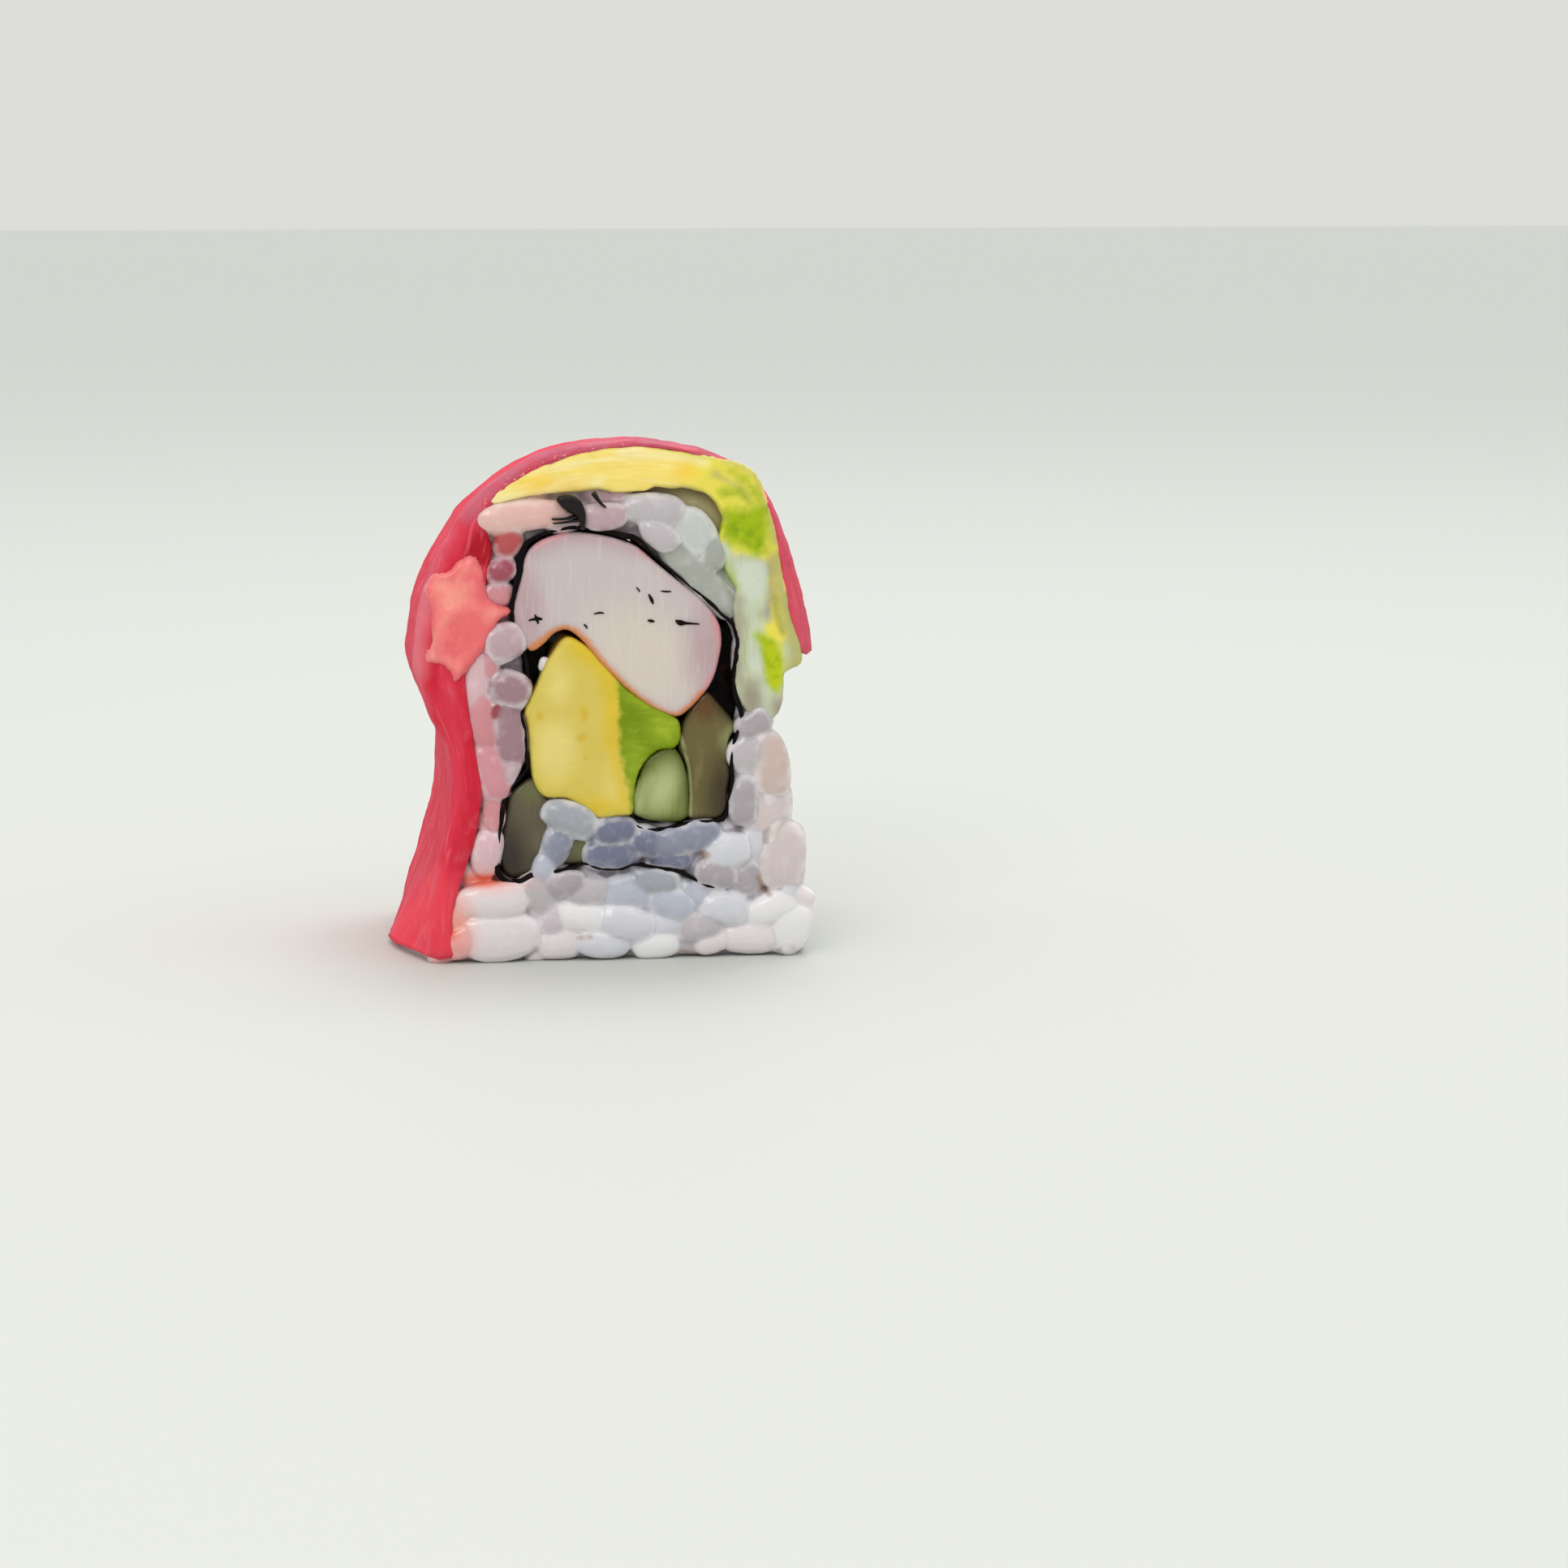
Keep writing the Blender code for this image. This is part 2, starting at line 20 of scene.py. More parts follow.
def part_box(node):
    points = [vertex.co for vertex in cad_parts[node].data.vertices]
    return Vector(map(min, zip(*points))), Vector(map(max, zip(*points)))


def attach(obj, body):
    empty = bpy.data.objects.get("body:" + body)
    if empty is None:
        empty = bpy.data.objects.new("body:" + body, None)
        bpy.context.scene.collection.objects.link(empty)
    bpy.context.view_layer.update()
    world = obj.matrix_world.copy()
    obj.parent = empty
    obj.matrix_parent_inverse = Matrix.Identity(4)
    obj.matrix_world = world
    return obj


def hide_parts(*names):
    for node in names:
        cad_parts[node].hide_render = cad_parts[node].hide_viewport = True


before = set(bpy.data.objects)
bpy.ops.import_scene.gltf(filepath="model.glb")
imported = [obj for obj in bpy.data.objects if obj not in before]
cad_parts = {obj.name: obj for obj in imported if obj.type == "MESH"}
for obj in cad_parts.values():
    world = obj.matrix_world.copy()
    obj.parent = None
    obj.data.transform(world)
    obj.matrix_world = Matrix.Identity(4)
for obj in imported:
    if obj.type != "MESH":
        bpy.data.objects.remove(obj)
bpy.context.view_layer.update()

Points = np.ndarray
Triple = tuple[float, float, float]
Colour = tuple[float, float, float, float]

MM = 0.001
HALF_LENGTH = 14.0
FORWARD = np.array([0.0, -1.0, 0.0])
BACKWARD = np.array([0.0, 1.0, 0.0])
UPWARD = np.array([0.0, 0.0, 1.0])
CLEAR_OF_FLOOR = 0.02
BATCH = 3000

log = logging.getLogger("rainbow_roll")


def tone(red: int, green: int, blue: int) -> Colour:
    """A colour as it looks on screen, as the linear colour that a shader takes.

    Args:
        red: Red on screen, from 0 to 255.
        green: Green on screen, from 0 to 255.
        blue: Blue on screen, from 0 to 255.

    Returns:
        The linear colour with full opacity.
    """
    screen = [value / 255 for value in (red, green, blue)]
    linear = [s / 12.92 if s <= 0.04045 else ((s + 0.055) / 1.055) ** 2.4 for s in screen]
    return (*linear, 1.0)


def smooth_line(landmarks: Any, spacing: float, closed: bool = False) -> Points:
    """Points about spacing apart on a smooth curve through the landmarks.

    Args:
        landmarks: Rows that start with x and z. A further column, such as a thickness, is carried.
        spacing: Distance between the points, in millimetres.
        closed: Whether the curve returns to its first landmark.

    Returns:
        The points, with as many columns as the landmarks.
    """
    marks = np.array(landmarks, float)
    if closed:
        marks = np.vstack([marks[-1:], marks, marks[:2]])
    else:
        marks = np.vstack([2 * marks[:1] - marks[1:2], marks, 2 * marks[-1:] - marks[-2:-1]])
    spans = np.sqrt(np.linalg.norm(np.diff(marks[:, :2], axis=0), axis=1))[:, None]
    slopes = np.diff(marks, axis=0) / spans
    tangents = (slopes[:-1] * spans[1:] + slopes[1:] * spans[:-1]) / (spans[:-1] + spans[1:])
    t = np.linspace(0.0, 1.0, 30, endpoint=False)[:, None]
    dense = []
    for i in range(1, len(marks) - 2):
        dense.append(
            (2 * t**3 - 3 * t**2 + 1) * marks[i]
            + (t**3 - 2 * t**2 + t) * spans[i] * tangents[i - 1]
            + (3 * t**2 - 2 * t**3) * marks[i + 1]
            + (t**3 - t**2) * spans[i] * tangents[i]
        )
    dense = np.vstack([*dense, marks[-2:-1]])
    walked = np.linalg.norm(np.diff(dense[:, :2], axis=0), axis=1)
    walked = np.concatenate([[0.0], np.cumsum(walked)])
    wanted = np.linspace(0.0, walked[-1], max(3, round(walked[-1] / spacing)) + 1)
    points = np.column_stack([np.interp(wanted, walked, column) for column in dense.T])
    return points[:-1] if closed else points


def unit(vectors: Points) -> Points:
    """The vectors at length one."""
    return vectors / np.maximum(np.linalg.norm(vectors, axis=-1, keepdims=True), 1e-9)


def batches(rows: Points) -> list[Points]:
    """The rows in parts that are small enough to compare with many others at once."""
    return np.array_split(rows, len(rows) // BATCH + 1)


def section(drawn: Points) -> Points:
    """The x and z of points of the drawing."""
    return drawn[:, [0, 2]]


def at_depth(places: Points, y: float | Points) -> Points:
    """Places of the section, or one place, as points of the drawing at a depth."""
    return np.insert(places, 1, y, axis=-1)


def anticlockwise(outline: Points) -> Points:
    """The closed outline in anticlockwise order, as seen from the front."""
    (x, z), (next_x, next_z) = outline.T, np.roll(outline, -1, axis=0).T
    return outline if np.sum(x * next_z - next_x * z) > 0 else outline[::-1]


def grown(outline: Points, distance: float) -> Points:
    """The anticlockwise outline moved outwards by distance, or inwards where it is negative."""
    ahead = unit(np.roll(outline, -1, axis=0) - np.roll(outline, 1, axis=0))
    return outline + np.column_stack([ahead[:, 1], -ahead[:, 0]]) * distance


def to_line(places: Points, line: Points, closed: bool) -> Points:
    """Distance of each place from a line of points, in millimetres.

    Args:
        places: Places as rows of x and z.
        line: Points of the line.
        closed: Whether the last point joins the first.

    Returns:
        One distance for each place.
    """
    ends = np.roll(line, -1, axis=0) if closed else line[1:]
    starts = line if closed else line[:-1]
    along = ends - starts
    lengths = np.maximum((along**2).sum(1), 1e-12)
    found = []
    for part in batches(places):
        share = np.clip(((part[:, None] - starts) * along).sum(2) / lengths, 0.0, 1.0)
        gap = part[:, None] - starts - along * share[..., None]
        found.append(np.sqrt((gap**2).sum(2).min(1)))
    return np.concatenate(found)


def depth_inside(places: Points, outline: Points) -> Points:
    """Distance of each place from a closed outline.

    Args:
        places: Places as rows of x and z.
        outline: Points of the outline.

    Returns:
        One distance for each place, positive inside the outline and negative outside it.
    """
    ends_x, ends_z = np.roll(outline, -1, axis=0).T
    starts_x, starts_z = outline.T
    run = np.where(ends_z == starts_z, 1.0, ends_z - starts_z)
    odd = []
    for part in batches(places):
        x, z = part[:, 0:1], part[:, 1:2]
        rises = (starts_z > z) != (ends_z > z)
        crossed = rises & (x < (ends_x - starts_x) * (z - starts_z) / run + starts_x)
        odd.append(crossed.sum(1) % 2 == 1)
    return to_line(places, outline, True) * np.where(np.concatenate(odd), 1.0, -1.0)


def strip_outline(line: Points) -> Points:
    """Closed outline of a strip with blunt round ends.

    Args:
        line: Rows of x, z and thickness along the middle of the strip.

    Returns:
        The outline, anticlockwise.
    """
    ahead = unit(np.gradient(line[:, :2], axis=0))
    sideways = np.column_stack([-ahead[:, 1], ahead[:, 0]])
    half = line[:, 2:3] / 2
    left, right = line[:, :2] + sideways * half, line[:, :2] - sideways * half
    nose = line[-1:, :2] + ahead[-1:] * half[-1] * 0.5
    tail = line[:1, :2] - ahead[:1] * half[0] * 0.25
    return anticlockwise(np.vstack([right, nose, left[::-1], tail]))


def ripple(drawn: Points, size: float, seed: float = 0.0) -> Points:
    """Smooth noise at each point, about -1 to 1, in lumps of about the given size.

    Args:
        drawn: Points of the drawing, or any rows of three numbers.
        size: Size of a lump, in the unit of the points.
        seed: Moves the noise, so that two uses differ.

    Returns:
        One number for each point.
    """
    shifted = drawn / size + 17.31 * seed
    return np.array([noise.noise(Vector(row)) for row in shifted.tolist()])


def smoothstep(values: Points, low: float, high: float) -> Points:
    """Rises smoothly from 0 at low to 1 at high."""
    share = np.clip((values - low) / (high - low), 0.0, 1.0)
    return share * share * (3 - 2 * share)


def close_to(drawn: Points, path: tuple, full: float, none: float) -> Points:
    """1 up to the distance full from a path on the section, and 0 from the distance none."""
    return smoothstep(-to_line(section(drawn), np.array(path), False), -none, -full)


@dataclass(frozen=True)
class Drape:
    """How the section drawn at the front cut changes towards the back, as the solids do."""

    length: float = 28.0
    height: float = 46.8
    back_height_share: float = 0.96
    back_lean: float = 2.0
    foot_flare: float = 3.6
    foot_height: float = 9.0
    foot_start: float = -11.0
    foot_blend: float = 3.0
    flare_length: float = 12.3
    back_flare_share: float = 0.4
    nori_left: float = -9.609

    def placed(self, drawn: Points) -> Points:
        """Points of the drawing at their place in the frame.

        Args:
            drawn: Rows of x, y and z of the drawing, in millimetres.

        Returns:
            The points in the frame, in metres.
        """
        x, y, z = drawn.T
        share = np.clip(y / self.length + 0.5, 0.0, 1.0)
        behind = share * self.length
        drawn_in = np.maximum(behind - self.flare_length, 0.0) / (self.length - self.flare_length)
        spread = np.sin(math.pi / 2 * np.minimum(behind / self.flare_length, 1.0))
        spread = spread * (1.0 - (1.0 - self.back_flare_share) * drawn_in)
        low = np.clip(1.0 - z / self.foot_height, 0.0, 1.0) ** 1.5
        leftward = np.clip((self.foot_start - x) / self.foot_blend, 0.0, 1.0)
        lean = self.back_lean * share * (np.maximum(z, 0.0) / self.height) ** 2
        x = x + lean - self.foot_flare * spread * low * leftward
        z = z * (1.0 - (1.0 - self.back_height_share) * share)
        return (np.column_stack([x, y, z]) + self.shift()) * MM

    def shift(self) -> Points:
        """From the drawing's origin to the frame's, in millimetres, read from the nori's box."""
        low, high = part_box("nori")
        return np.array([low.x / MM - self.nori_left, (low.y + high.y) / 2 / MM, 0.0])


DRAPE = Drape()


@dataclass(frozen=True)
class Spot:
    """An oval mark on the section, with half its size each way and its turn in degrees."""

    x: float
    z: float
    half_x: float
    half_z: float
    turn: float = 0.0

    def inside(self, places: Points) -> Points:
        """Distance in from the rim of the mark.

        Args:
            places: Places as rows of x and z.

        Returns:
            One distance for each place, negative outside the mark.
        """
        turned = math.radians(self.turn)
        across = places - (self.x, self.z)
        u = across @ np.array([math.cos(turned), math.sin(turned)])
        v = across @ np.array([-math.sin(turned), math.cos(turned)])
        return (1 - np.hypot(u / self.half_x, v / self.half_z)) * min(self.half_x, self.half_z)


@dataclass(frozen=True)
class Area:
    """A mark on the section with a smooth outline through its corners."""

    corners: tuple

    def inside(self, places: Points) -> Points:
        """Distance in from the rim of the mark, negative outside it."""
        return depth_inside(places, smooth_line(self.corners, 0.3, closed=True))


@dataclass(frozen=True)
class Streak:
    """A mark of some width along a line on the section."""

    path: tuple
    width: float

    def inside(self, places: Points) -> Points:
        """Distance in from the rim of the mark, negative outside it."""
        return self.width / 2 - to_line(places, smooth_line(self.path, 0.3), False)


Marks = tuple[tuple[str, list], ...]


def marked(**groups: Any) -> Marks:
    """Marks by the names that a finish reads, each name with one mark or a list of them."""
    return tuple((name, group if isinstance(group, list) else [group]) for name, group in groups.items())


def mark_fields(marks: Marks, drawn: Points, fade: float) -> dict:
    """How far each point lies inside the nearest mark of each name, negative outside them all.

    Args:
        marks: The marks by name.
        drawn: Points of the drawing.
        fade: How fast the marks shrink behind the front cut.

    Returns:
        The distances by name, and the points of the drawing.
    """
    places = section(drawn)
    shrunk = fade * np.maximum(drawn[:, 1] + HALF_LENGTH - 1.0, 0.0)
    found = {name: np.max([mark.inside(places) for mark in group], axis=0) - shrunk for name, group in marks}
    return {**found, "drawn": drawn}


class Value:
    """A shader socket in an expression: each operator adds its node."""

    def __init__(self, sheet: "Sheet", socket: bpy.types.NodeSocket) -> None:
        """Wraps one output socket of a sheet of nodes."""
        self.sheet = sheet
        self.socket = socket

    def _math(self, operation: str, first: Any, second: Any) -> "Value":
        """A Math node on two operands."""
        return self.sheet.add("ShaderNodeMath", {"operation": operation}, {0: first, 1: second})

    def __add__(self, other: Any) -> "Value":
        """The sum."""
        return self._math("ADD", self, other)

    def __radd__(self, other: Any) -> "Value":
        """The sum, reflected."""
        return self._math("ADD", other, self)

    def __sub__(self, other: Any) -> "Value":
        """The difference."""
        return self._math("SUBTRACT", self, other)

    def __rsub__(self, other: Any) -> "Value":
        """The difference, reflected."""
        return self._math("SUBTRACT", other, self)

    def __mul__(self, other: Any) -> "Value":
        """The product."""
        return self._math("MULTIPLY", self, other)

    def __rmul__(self, other: Any) -> "Value":
        """The product, reflected."""
        return self._math("MULTIPLY", other, self)

    def folded(self, size: float) -> "Value":
        """Rises from 0 to a size and falls again, over and over."""
        return self._math("PINGPONG", self, size)

    def soft(self, low: float, high: float) -> "Value":
        """Rises smoothly from 0 at low to 1 at high, or falls where high is the lower."""
        settings = {"interpolation_type": "SMOOTHSTEP"}
        return self.sheet.add("ShaderNodeMapRange", settings, {0: self, 1: low, 2: high})


class Sheet:
    """The nodes of one material or of the world."""

    def __init__(self, holder: bpy.types.Material | bpy.types.World) -> None:
        """Starts an empty sheet of nodes.

        Args:
            holder: The material or the world that they make.
        """
        holder.use_nodes = True
        self.holder = holder
        self.nodes = holder.node_tree.nodes
        self.links = holder.node_tree.links
        self.nodes.clear()

    def add(self, kind: str, settings: dict, inputs: dict, output: int | None = 0) -> Value | None:
        """Adds a node.

        Args:
            kind: The node's type.
            settings: Its own settings, which are set first.
            inputs: Numbers, colours or links for its sockets, by name or place.
            output: Place of the output socket that is wanted, or None for a node that ends a sheet.

        Returns:
            The output socket, ready for expressions.
        """
        node = self.nodes.new(kind)
        for name, setting in settings.items():
            setattr(node, name, setting)
        for name, value in inputs.items():
            if isinstance(value, Value):
                self.links.new(value.socket, node.inputs[name])
            else:
                node.inputs[name].default_value = value
        return None if output is None else Value(self, node.outputs[output])

    def field(self, name: str) -> Value:
        """A number that the mesh carries at each point."""
        return self.add("ShaderNodeAttribute", {"attribute_name": name}, {}, 2)

    def vector(self, name: str) -> Value:
        """A vector or colour that the mesh carries at each point."""
        return self.add("ShaderNodeAttribute", {"attribute_name": name}, {}, 1)

    def axes(self, vector: Value) -> tuple[Value, ...]:
        """The three numbers of a vector."""
        first = self.add("ShaderNodeSeparateXYZ", {}, {0: vector})
        return tuple(Value(self, output) for output in first.socket.node.outputs)

    def grain(
        self, size: float | tuple, detail: float = 2.0, bend: float = 0.0, over: str = "drawn"
    ) -> Value:
        """Noise from 0 to 1 in grains of a size, or of a size for each axis.

        Args:
            size: Size of a grain, in millimetres.
            detail: How many finer layers are added.
            bend: How much the grains are distorted.
            over: The vector of the mesh over which the noise is read.

        Returns:
            The noise.
        """
        sizes = size if isinstance(size, tuple) else (size, size, size)
        factors = {0: self.vector(over), 1: tuple(1 / s for s in sizes)}
        spread = self.add("ShaderNodeVectorMath", {"operation": "MULTIPLY"}, factors)
        inputs = {"Vector": spread, "Scale": 1.0, "Detail": detail, "Distortion": bend}
        return self.add("ShaderNodeTexNoise", {}, inputs)

    def mix(self, share: Any, first: Any, second: Any) -> Value:
        """A colour between two, the second where the share is 1."""
        settings = {"data_type": "RGBA", "clamp_factor": True}
        return self.add("ShaderNodeMix", settings, {0: share, 6: first, 7: second}, 2)

    def layered(self, base: Any, *layers: tuple) -> Value:
        """A base colour with further colours laid over it, each by its share.

        Args:
            base: The colour below.
            layers: Pairs of a share and a colour, the lowest first.

        Returns:
            The colour that shows.
        """
        for share, colour in layers:
            base = self.mix(share, base, colour)
        return base

    def surface(self, inputs: dict) -> bpy.types.Material:
        """Ends the sheet with a Principled shader.

        Args:
            inputs: Numbers, colours or links for the shader's sockets, by name.

        Returns:
            The finished material.
        """
        settings = {"subsurface_method": "RANDOM_WALK"}
        shader = self.add("ShaderNodeBsdfPrincipled", settings, inputs)
        self.add("ShaderNodeOutputMaterial", {}, {"Surface": shader}, None)
        return self.holder


@dataclass(frozen=True)
class Finish:
    """How a food takes light. What varies over it comes from the methods.

    The relief is the size of a grain of noise, its detail and its distortion.
    """

    name: str
    roughness: float = 0.35
    coat: float = 0.4
    coat_roughness: float = 0.12
    specular: float = 0.35
    subsurface: float = 0.3
    scatter: Triple = (1.0, 0.5, 0.3)
    bump: float = 0.05
    relief: tuple = (0.6, 3.0)

    def colour(self, sheet: Sheet) -> Any:
        """The colour over the surface."""
        raise NotImplementedError

    def height(self, sheet: Sheet) -> Value:
        """Fine relief over the surface, from 0 to 1."""
        return sheet.grain(*self.relief)

    def gloss(self, sheet: Sheet) -> Any:
        """The roughness over the surface."""
        return self.roughness + (sheet.grain(1.1) - 0.5) * 0.3

    def material(self) -> bpy.types.Material:
        """Makes the material, once for all the pieces that share it.

        Returns:
            The finished material.
        """
        found = bpy.data.materials.get(self.name)
        if found:
            return found
        sheet = Sheet(bpy.data.materials.new(self.name))
        inputs = {"Height": self.height(sheet), "Strength": 1.0, "Distance": self.bump * MM}
        return sheet.surface(
            {
                "Base Color": self.colour(sheet),
                "Roughness": self.gloss(sheet),
                "Normal": sheet.add("ShaderNodeBump", {}, inputs),
                "Subsurface Weight": self.subsurface,
                "Subsurface Radius": tuple(reach * MM for reach in self.scatter),
                "Subsurface Scale": 1.0,
                "Coat Weight": self.coat,
                "Coat Roughness": self.coat_roughness,
                "IOR": 1.4,
                "Specular IOR Level": self.specular,
            }
        )


@dataclass(frozen=True)
class TunaFinish(Finish):
    """Raw tuna: crimson, with fibres along the slice and a wet skin of juice."""

    name: str = "tuna_flesh"
    roughness: float = 0.4
    coat: float = 0.0
    specular: float = 0.3
    subsurface: float = 0.2
    scatter: Triple = (1.1, 0.25, 0.25)
    bump: float = 0.16
    flesh: Colour = tone(214, 52, 75)
    deep: Colour = tone(203, 22, 49)
    crimson: Colour = tone(170, 0, 26)
    fibre: Colour = tone(234, 102, 112)
    skin: Colour = tone(208, 40, 68)
    # rosy pink: painted sheen down the outer rims, and random paler patches over the flesh
    rosy: Colour = tone(208, 92, 112)
    # painted sheen: lilac-pink reflection along the top rim
    crown: Colour = tone(164, 108, 128)
    foot: Colour = tone(234, 66, 82)
    # painted sheen: a pale pink veil where the left side bulges
    bulge: Colour = tone(226, 146, 154)
    wall_dullness: float = 0.35
    # painted glints: tiny pale specks
    crumb: Colour = tone(240, 156, 150)

    def colour(self, sheet: Sheet) -> Any:
        """Flesh and deep patches, then the marked tints with painted sheen on the rims, fibres, seams and
        painted glints.

        Args:
            sheet: The nodes of the material.

        Returns:
            The colour.
        """
        fibres = sheet.grain((4.5, 0.42, 3.0), 3.0, 0.6, over="strip")
        broad = sheet.grain((9.0, 1.6, 7.0), 2.0, over="strip")
        blotch = sheet.grain(1.8, 3.0)
        along, _, depth = sheet.axes(sheet.vector("strip"))
        swell = sheet.grain((9.0, 4.0, 6.0), 2.0, over="strip") * 6.0
        bands = (along * 0.55 + depth + swell).folded(1.5)
        specks = sheet.grain(0.34, 1.0)
        wall = sheet.field("wall").soft(0.3, 0.9)
        return sheet.layered(
            sheet.mix(broad.soft(0.35, 0.7), self.flesh, self.deep),
            (wall * 0.8, self.skin),
            # painted sheen: lilac-pink along the top rim, rosy down the outer rims, pale on the left bulge
            ((sheet.field("crown") + (blotch - 0.5) * 3.0).soft(-2.2, 1.0) * 0.7, self.crown),
            (sheet.field("rosy").soft(-0.8, 0.8) * 0.7, self.rosy),
            (sheet.field("bulge").soft(-1.2, 0.9) * 0.5, self.bulge),
            (sheet.field("deep").soft(-0.5, 0.5) * 0.9, self.deep),
            # crimson: the tuna's deeper red where the cut face is recessed, darkened further as painted
            # shade in the recess
            (sheet.field("crimson").soft(-0.4, 0.6) * 0.95, self.crimson),
            (sheet.field("foot").soft(-1.6, 1.2) * 0.8, self.foot),
            (fibres.soft(0.56, 0.74) * 0.5, self.fibre),
            (blotch.soft(0.58, 0.72) * 0.35, self.rosy),
            (bands.soft(0.5, 0.0) * wall * blotch.soft(0.35, 0.6) * 0.32, self.fibre),
            (wall * sheet.grain(5.5, 2.0).soft(0.45, 0.7) * 0.35, self.rosy),
            # painted glints: tiny pale specks along the top and the left edge
            (specks.soft(0.6, 0.7) * sheet.field("crumbly").soft(-0.4, 0.4) * 0.9, self.crumb),
        )

    def gloss(self, sheet: Sheet) -> Any:
        """The roughness over the surface."""
        dull = sheet.field("wall").soft(0.4, 1.0) * self.wall_dullness
        return self.roughness + dull + (sheet.grain(1.1) - 0.5) * 0.2

    def height(self, sheet: Sheet) -> Value:
        """Fine relief over the surface, from 0 to 1: fibres, soft lumps and pores.

        Args:
            sheet: The nodes of the material.

        Returns:
            The relief.
        """
        fibres = sheet.grain((3.5, 0.35, 2.5), 3.0, 0.5, over="strip")
        pores = sheet.grain(0.3, 1.0)
        return fibres * 0.7 + sheet.grain(1.4, 3.0) * 0.6 + pores * 0.25


@dataclass(frozen=True)
class FlakeFinish(Finish):
    """A torn, half clear flake of tuna, coral where light passes through it."""

    name: str = "tuna_flake_flesh"
    roughness: float = 0.3
    coat: float = 0.5
    coat_roughness: float = 0.18
    subsurface: float = 0.35
    scatter: Triple = (1.6, 0.6, 0.5)
    bump: float = 0.12
    relief: tuple = ((1.0, 1.6, 2.0), 2.0, 1.4)
    flesh: Colour = tone(238, 112, 115)
    pale: Colour = tone(250, 164, 148)
    rose: Colour = tone(230, 104, 112)
    clear: Colour = tone(232, 106, 104)
    rim: Colour = tone(224, 84, 96)

    def colour(self, sheet: Sheet) -> Any:
        """Coral with pale swirls, clearer in the middle, deeper at the rim.

        Args:
            sheet: The nodes of the material.

        Returns:
            The colour.
        """
        swirl = sheet.grain((1.3, 2.0, 2.2), 2.0, 1.2)
        patch = sheet.grain(3.2, 1.0)
        return sheet.layered(
            sheet.mix(patch.soft(0.4, 0.65), self.flesh, self.rose),
            (swirl.soft(0.46, 0.8) * 0.6, self.pale),
            (sheet.field("clear").soft(-1.0, 1.0) * 0.7, self.clear),
            # pale marks: paler fibres of the flake, with painted highlights on its wrinkles
            (sheet.field("pale").soft(-0.8, 0.9) * 0.7, self.pale),
            (sheet.field("edge").soft(1.1, 0.2) * 0.5, self.rim),
        )


@dataclass(frozen=True)
class AvocadoFinish(Finish):
    """Ripe avocado: butter yellow inside, green towards the skin."""

    name: str = "avocado_flesh"
    roughness: float = 0.38
    coat: float = 0.15
    coat_roughness: float = 0.2
    specular: float = 0.25
    scatter: Triple = (1.2, 0.9, 0.3)
    bump: float = 0.13
    butter: Colour = tone(246, 220, 118)
    cream: Colour = tone(252, 236, 182)
    amber: Colour = tone(248, 204, 66)
    lime: Colour = tone(232, 219, 84)
    green: Colour = tone(164, 186, 0)
    dark_green: Colour = tone(136, 164, 0)
    pale: Colour = tone(196, 204, 176)
    glass: Colour = tone(208, 214, 200)
    olive: Colour = tone(150, 150, 76)
    peach: Colour = tone(246, 196, 130)
    blob: Colour = tone(186, 198, 12)
    haze: Colour = tone(182, 178, 112)
    dusk: Colour = tone(148, 134, 118)

    def colour(self, sheet: Sheet) -> Any:
        """Butter yellow, then the marked tints, with broken greens on the right.

        Args:
            sheet: The nodes of the material.

        Returns:
            The colour.
        """
        wobble = (sheet.grain(1.3, 3.0) - 0.5) * 2.4
        fine = (sheet.grain(1.3, 2.0) - 0.5) * 1.2
        streaks = sheet.grain((5.0, 0.5, 3.0), 3.0, 0.4, over="strip")
        mottle = sheet.grain(0.8, 3.0)
        fibres = sheet.grain((3.0, 0.55, 2.0), 3.0, 0.6, over="strip")
        leg = (sheet.field("pale") + wobble * 0.5).soft(-0.6, 0.6)
        greens = sheet.mix(mottle.soft(0.35, 0.72), self.green, self.dark_green)
        patch = sheet.mix(mottle.soft(0.4, 0.6), self.green, self.blob)
        return sheet.layered(
            self.butter,
            (streaks.soft(0.48, 0.72) * 0.65, self.cream),
            ((sheet.field("lime") + wobble).soft(-2.2, 2.2), self.lime),
            # cream: pale streaks of the flesh, with a painted wet highlight along the lower left edge
            (sheet.field("cream").soft(-0.5, 0.7) * 0.85, self.cream),
            (sheet.field("amber").soft(-0.9, 0.9) * 0.8, self.amber),
            (leg, self.pale),
            (leg * fibres.soft(0.5, 0.7) * 0.55, self.glass),
            (leg * fibres.soft(0.44, 0.28) * 0.6, self.haze),
            ((sheet.field("haze") + fine * 0.5).soft(-0.6, 0.6) * 0.9, self.haze),
            ((sheet.field("dusk") + fine * 0.5).soft(-0.8, 0.8) * 0.8, self.dusk),
            ((sheet.field("glass") + fine * 0.5).soft(-0.4, 0.6) * 0.8, self.glass),
            ((sheet.field("green") + fine).soft(-0.8, 0.8), greens),
            ((sheet.field("blob") + fine * 0.5).soft(-0.4, 0.5), patch),
            # olive: a darker streak in the leg, and painted shade along the lower edge over the hollow
            (sheet.field("olive").soft(-0.3, 0.4) * 0.7, self.olive),
            (sheet.field("peach").soft(-0.12, 0.12) * 0.8, self.peach),
        )

    def height(self, sheet: Sheet) -> Value:
        """Fine relief over the surface, from 0 to 1."""
        streaks = sheet.grain((4.0, 0.45, 2.5), 3.0, 0.4, over="strip")
        return streaks * 0.6 + sheet.grain(0.9, 3.0) * 0.7


